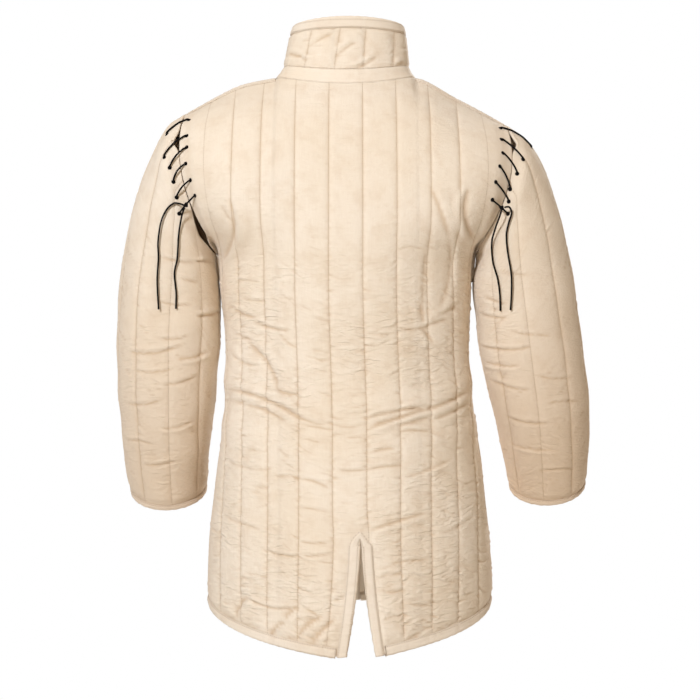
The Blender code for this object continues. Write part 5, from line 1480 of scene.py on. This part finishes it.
class CollarPiece:
    """A stretch of the collar between two shares of its height."""

    def __init__(self, ring, heights, seed=None):
        x, y, z = (ring["outer"] - np.array([LEAN_TOP, 0, 0])).T
        back = COLLAR_TOP["side"] + (COLLAR_TOP["back"] - COLLAR_TOP["side"]) * (y / NECK_BACK) ** 2
        front = COLLAR_TOP["side"] + (COLLAR_TOP["front"] - COLLAR_TOP["side"]) * (y / NECK_FRONT) ** 2
        top = np.where(y < 0, back, front)
        size = np.interp(heights, *zip(*COLLAR_PROFILE))
        self.base = np.array([np.stack([x * f + LEAN_TOP + COLLAR_LEAN * h, y * f, z + h * (top - z)], -1)
                              for h, f in zip(heights, size)])
        self.normals = -grid_normals(self.base)
        self.down = arc_length(self.base.transpose(1, 0, 2)).T
        shares = np.broadcast_to(heights[:, None], self.down.shape)
        inside = ease((shares - heights[0]) / 0.05) * ease((heights[-1] - shares) / 0.05)
        if seed is None:
            self.across = np.full(shares.shape, 0.5)
            length = arc_length(self.base[1])
            height = inside * (0.5 + 0.35 * np.sin(length / 6.1 + 2 * np.sin(length / 17)))
        else:
            # The stitched lines lean to the right at the back.
            way = np.sign(np.gradient(x)[int(np.argmin(y))])
            lean = (5.0 + 8.0 * heights[:, None]) * ease(-y / 40) / COLLAR_PITCH
            self.across = self.channels(ring["stitched"], len(x)) - way * lean
            to_line = np.abs(self.across - np.round(self.across)) * COLLAR_PITCH
            held = ease((shares - heights[0]) / 0.07) * ease((COLLAR_TAPE - shares) / 0.06)
            height = COLLAR_PUFF * channel_height(to_line) * held
            height += puckers(self.across, self.down, seed, inside * 0.75)
            facing = np.clip(-self.normals[..., 1] * 2.2 - 0.2, 0, 1)
            height += creases(self.base, inside * facing, COLLAR_CREASES)
        self.hollow_shade = hollows(height)
        self.outer = self.base + self.normals * height[..., None]
        self.inner = self.base - self.normals * WALL

    def channels(self, lines, count):
        """Each station's place in channels, which goes on beyond the first and the last line."""
        places = np.arange(count)
        across = np.interp(places, lines, np.arange(len(lines)))
        across = np.where(places < lines[0], (places - lines[0]) / len(CHANNEL), across)
        beyond = len(lines) - 1 + (places - lines[-1]) / len(CHANNEL)
        return np.where(places > lines[-1], beyond, across)

    def seat(self, ring):
        """Sets the lower edge on the neck edge."""
        tangent = unit(np.gradient(ring["outer"], axis=0))
        rise = unit(np.cross(ring["normals"], tangent)) * SEAM_GAP
        self.outer[0], self.inner[0] = ring["outer"] + rise, ring["inner"] + rise


def make_collar(back, left, right):
    ring = neck_ring(back, left, right)
    band = CollarPiece(ring, np.linspace(0, BAND_TOP, 9))
    band.seat(ring)
    taped = np.linspace(COLLAR_TAPE, 1, 6)
    heights = np.concatenate([np.linspace(COLLAR_BOTTOM, COLLAR_TAPE, 37), taped[1:]])
    collar = CollarPiece(ring, heights, seed=62)
    for name, piece in (("collar_band", band), ("collar", collar)):
        made = wall("stand_" + name, piece.outer, piece.inner, cloth_map(piece), piece.hollow_shade, name)
    grids = row_edge(collar, nearest(heights, COLLAR_TAPE), range(collar.base.shape[1]))
    binding("bound_collar", "collar_binding", trimmed(grids, -TAPE, -TAPE), 63)


# Laces ----------------------------------------------------------------------------------------

SURFACES = {}


def remember_surface(name, piece):
    SURFACES[name] = BVHTree.FromObject(piece, bpy.context.evaluated_depsgraph_get())


def seen_from_behind(name, x, z):
    return SURFACES[name].ray_cast(Vector((x, BEHIND, z)) * MM, Vector((0, 1, 0)))[0] / MM


class Eyelet:
    """A hole through a piece: a place on its outer face and the way out of it."""

    def __init__(self, name, guess):
        tree = SURFACES[name]
        place, normal, _, _ = tree.find_nearest(Vector(guess) * MM)
        through = tree.ray_cast(place - normal * MM, -normal)[3] or WALL * MM
        self.place = np.array(place) / MM
        self.normal = np.array(normal)
        self.depth = through / MM + 1


def height_at(place, normal, names):
    """How far the highest surface stands above a place, along a normal."""
    start = Vector(place + normal * LACE_REACH) * MM
    highest = -LACE_REACH
    for name in names:
        distance = SURFACES[name].ray_cast(start, -Vector(normal), 2 * LACE_REACH * MM)[3]
        if distance is not None:
            highest = max(highest, LACE_REACH - distance / MM)
    return highest


def run(start, end, outside, names, bow=0.0):
    """A lace drawn tight from one eyelet to another over the outside or the inside, which lies on
    whatever stands highest below it. `bow` is how far it swings up, across the cloth."""
    sign = 1 if outside else -1
    first = start.place if outside else start.place - start.normal * start.depth
    last = end.place if outside else end.place - end.normal * end.depth
    length = np.linalg.norm(last - first)
    way = (last - first) / length
    normal = start.normal + end.normal
    normal = unit(normal - way * normal.dot(way))
    aside = np.cross(normal, way)
    aside = aside * (1 if aside[2] > 0 else -1)
    shares = np.linspace(0, 1, LACE_SAMPLES)[1:-1]
    line = [first + (last - first) * s + aside * bow * math.sin(math.pi * s) for s in shares]
    line = [first] + line + [last]
    shares = np.concatenate([[0], shares, [1]])
    heights = []
    for share, place in zip(shares, line):
        near_ring = min(share, 1 - share) * length < RING_REACH
        over = RING_HEIGHT if outside and near_ring else 0.0
        heights.append(height_at(place, normal * sign, names) + LACE_RADIUS + LACE_NEAR + over)
    hull = [0]
    for k in range(1, len(shares)):
        while len(hull) > 1:
            i, j = hull[-2], hull[-1]
            slope = (heights[k] - heights[i]) / (shares[k] - shares[i])
            if heights[i] + slope * (shares[j] - shares[i]) < heights[j]:
                break
            hull.pop()
        hull.append(k)
    tight = np.interp(shares, shares[hull], np.array(heights)[hull])
    return [place + normal * sign * height for place, height in zip(line, tight)]


def lacing(name, pairs, names, bows):
    """A spiral lacing: over the outside from the first eyelet of each pair to its second, and
    back inside to the next pair."""
    first = pairs[0][0]
    route = [first.place - first.normal * (first.depth + STUB), first.place + first.normal * RIM]
    for index, (start, end) in enumerate(pairs):
        if index:
            route += [start.place - start.normal * start.depth, start.place + start.normal * RIM]
        route += run(start, end, True, names, bows[index])
        route += [end.place + end.normal * RIM, end.place - end.normal * end.depth]
        if index < len(pairs) - 1:
            route += run(end, pairs[index + 1][0], False, names)
        else:
            route.append(end.place - end.normal * (end.depth + STUB))
    path = evened(respaced(np.array(route), 0.6), 5)
    hose("laced_" + name, respaced(path, 1.0), LACE_RADIUS, (name,))


def eyelet_ring(eyelets, name):
    """Black thread sewn round each hole, and a black disc of painted shade in it, as one piece."""
    around, across = 26, 8
    turns = np.linspace(0, 2 * math.pi, around, endpoint=False)[:, None, None]
    rolls = np.linspace(0, 2 * math.pi, across, endpoint=False)[:, None]
    thread = 0.82 + 0.14 * np.cos(turns * around / 2)
    uv = np.stack(np.meshgrid(np.arange(around) / 3, np.arange(across + 1) * MM, indexing="ij"), axis=-1)
    ring_faces, ring_map = tube_faces(uv, closed=True)
    points, faces, maps = [], [], []
    for eyelet in eyelets:
        side = unit(np.cross(eyelet.normal, (0.2, 0.1, 0.97)))
        way = side * np.cos(turns) + np.cross(eyelet.normal, side) * np.sin(turns)
        raised = eyelet.normal * (0.25 + 0.75 * thread * np.sin(rolls))
        base = len(points)
        points += (eyelet.place + way * (2.45 + thread * np.cos(rolls)) + raised).reshape(-1, 3).tolist()
        # A black disc over each hole, where the wall is not cut: painted shade in the open hole round the
        # lace.
        hole_shade = len(points)
        points += (eyelet.place + way[:, 0] * 2.2 + eyelet.normal * 0.12).tolist()
        faces += [tuple(base + corner for corner in face) for face in ring_faces]
        faces.append(tuple(range(hole_shade, hole_shade + around)))
        maps += ring_map + [(0.0, 0.0)] * around
    put(name, points, faces, maps, BLACK)


def knot(side, along):
    """A small overhand knot that sits where the solids have theirs, `along` the last stitch."""
    low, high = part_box("knot_" + side)
    centre = np.array((low + high) / 2) / MM
    up = unit(np.cross(along, np.cross((0, -1, 0), along)))
    aside = np.cross(up, along)
    t = np.linspace(0, 2 * math.pi, 90, endpoint=False)[:, None]
    x = np.sin(t) + 2 * np.sin(2 * t)
    y = np.cos(t) - 2 * np.cos(2 * t)
    path = centre + 1.12 * x * along + 0.9 * y * aside - 1.25 * np.sin(3 * t) * up
    hose("tied_knot_" + side, path, LACE_RADIUS, ("knot_" + side,), closed=True)


def place_at(panel, angle):
    """A place on a front, an eyelet's inset from its armhole."""
    angles = [0] + [line[0] for line in UPPER_SECTIONS] + [180]
    row = np.interp(angle, angles, range(len(angles)))
    line = between(panel.outer, np.interp(row, panel.rows, range(len(panel.rows))))
    return points_along(line[::-1], EYELET_INSET)


def sleeve_at(sleeve, angle):
    """A place on a sleeve, an eyelet's inset from its head."""
    places = np.concatenate([sleeve.across[0], [SLEEVE_CHANNELS]])
    want = ((angle + 90 + 2) % 360) / 360 * SLEEVE_CHANNELS
    columns = np.concatenate([sleeve.outer, sleeve.outer[:, :1]], axis=1).transpose(1, 0, 2)
    return points_along(between(columns, np.interp(want, places, range(len(places)))), EYELET_INSET)


def lace_armhole(side, front, sleeve):
    on_sleeve, on_front = "sleeve_" + side, "front_" + side
    pairs = []
    for sleeve_x, sleeve_z, back_x, back_z in BACK_EYELETS[side]:
        pairs.append((Eyelet(on_sleeve, seen_from_behind(on_sleeve, sleeve_x, sleeve_z)),
                      Eyelet("back", seen_from_behind("back", back_x, back_z))))
    for at_front, at_sleeve in FRONT_EYELETS:
        pairs.append((Eyelet(on_sleeve, sleeve_at(sleeve, at_sleeve)),
                      Eyelet(on_front, place_at(front, at_front))))
    lacing("lacing_" + side, pairs, ("back", on_front, on_sleeve, "shoulder_tape_" + side), LACE_BOWS[side])
    first, second = pairs[0]
    knot(side, unit(second.place - first.place))
    eyelet_ring([eyelet for pair in pairs for eyelet in pair], "armhole_eyelets_" + side)


def lace_front(left, right):
    pairs = []
    for row in FRONT_LACE_ROWS:
        pair = []
        for panel, name in ((left, "front_left"), (right, "front_right")):
            at = nearest(panel.rows, row)
            tape, line = (nearest(panel.columns, column) for column in (0.5 + 18 / QUILT_PITCH, 1))
            start, end = panel.outer[at, tape], panel.outer[at, line]
            pair.append(Eyelet(name, start + (end - start) * FRONT_EYELET_SHARE))
        pairs.append(pair)
    names = ("front_left", "front_right", "front_binding_left", "front_binding_right")
    lacing("lacing_front", pairs, names, LACE_BOWS["front"])
    eyelet_ring([eyelet for pair in pairs for eyelet in pair], "front_eyelets")


# Everything -----------------------------------------------------------------------------------


def main():
    make_camera()
    make_cords()
    make_stage()
    back, left, right = make_panels()
    pieces = make_bodies(back, left, right)
    make_bindings(back, left, right)
    make_collar(back, left, right)
    sleeves = make_sleeves()
    for name, piece in pieces.items():
        remember_surface(name, piece)
    for side in sleeves:
        remember_surface("sleeve_" + side, sleeves[side].piece)
        remember_surface("shoulder_tape_" + side, bpy.data.objects["shoulder_seam_tape_" + side])
        remember_surface("front_binding_" + side, bpy.data.objects["bound_front_" + side])
    lace_armhole("left", left, sleeves["left"])
    lace_armhole("right", right, sleeves["right"])
    lace_front(left, right)


main()
bpy.context.view_layer.update()
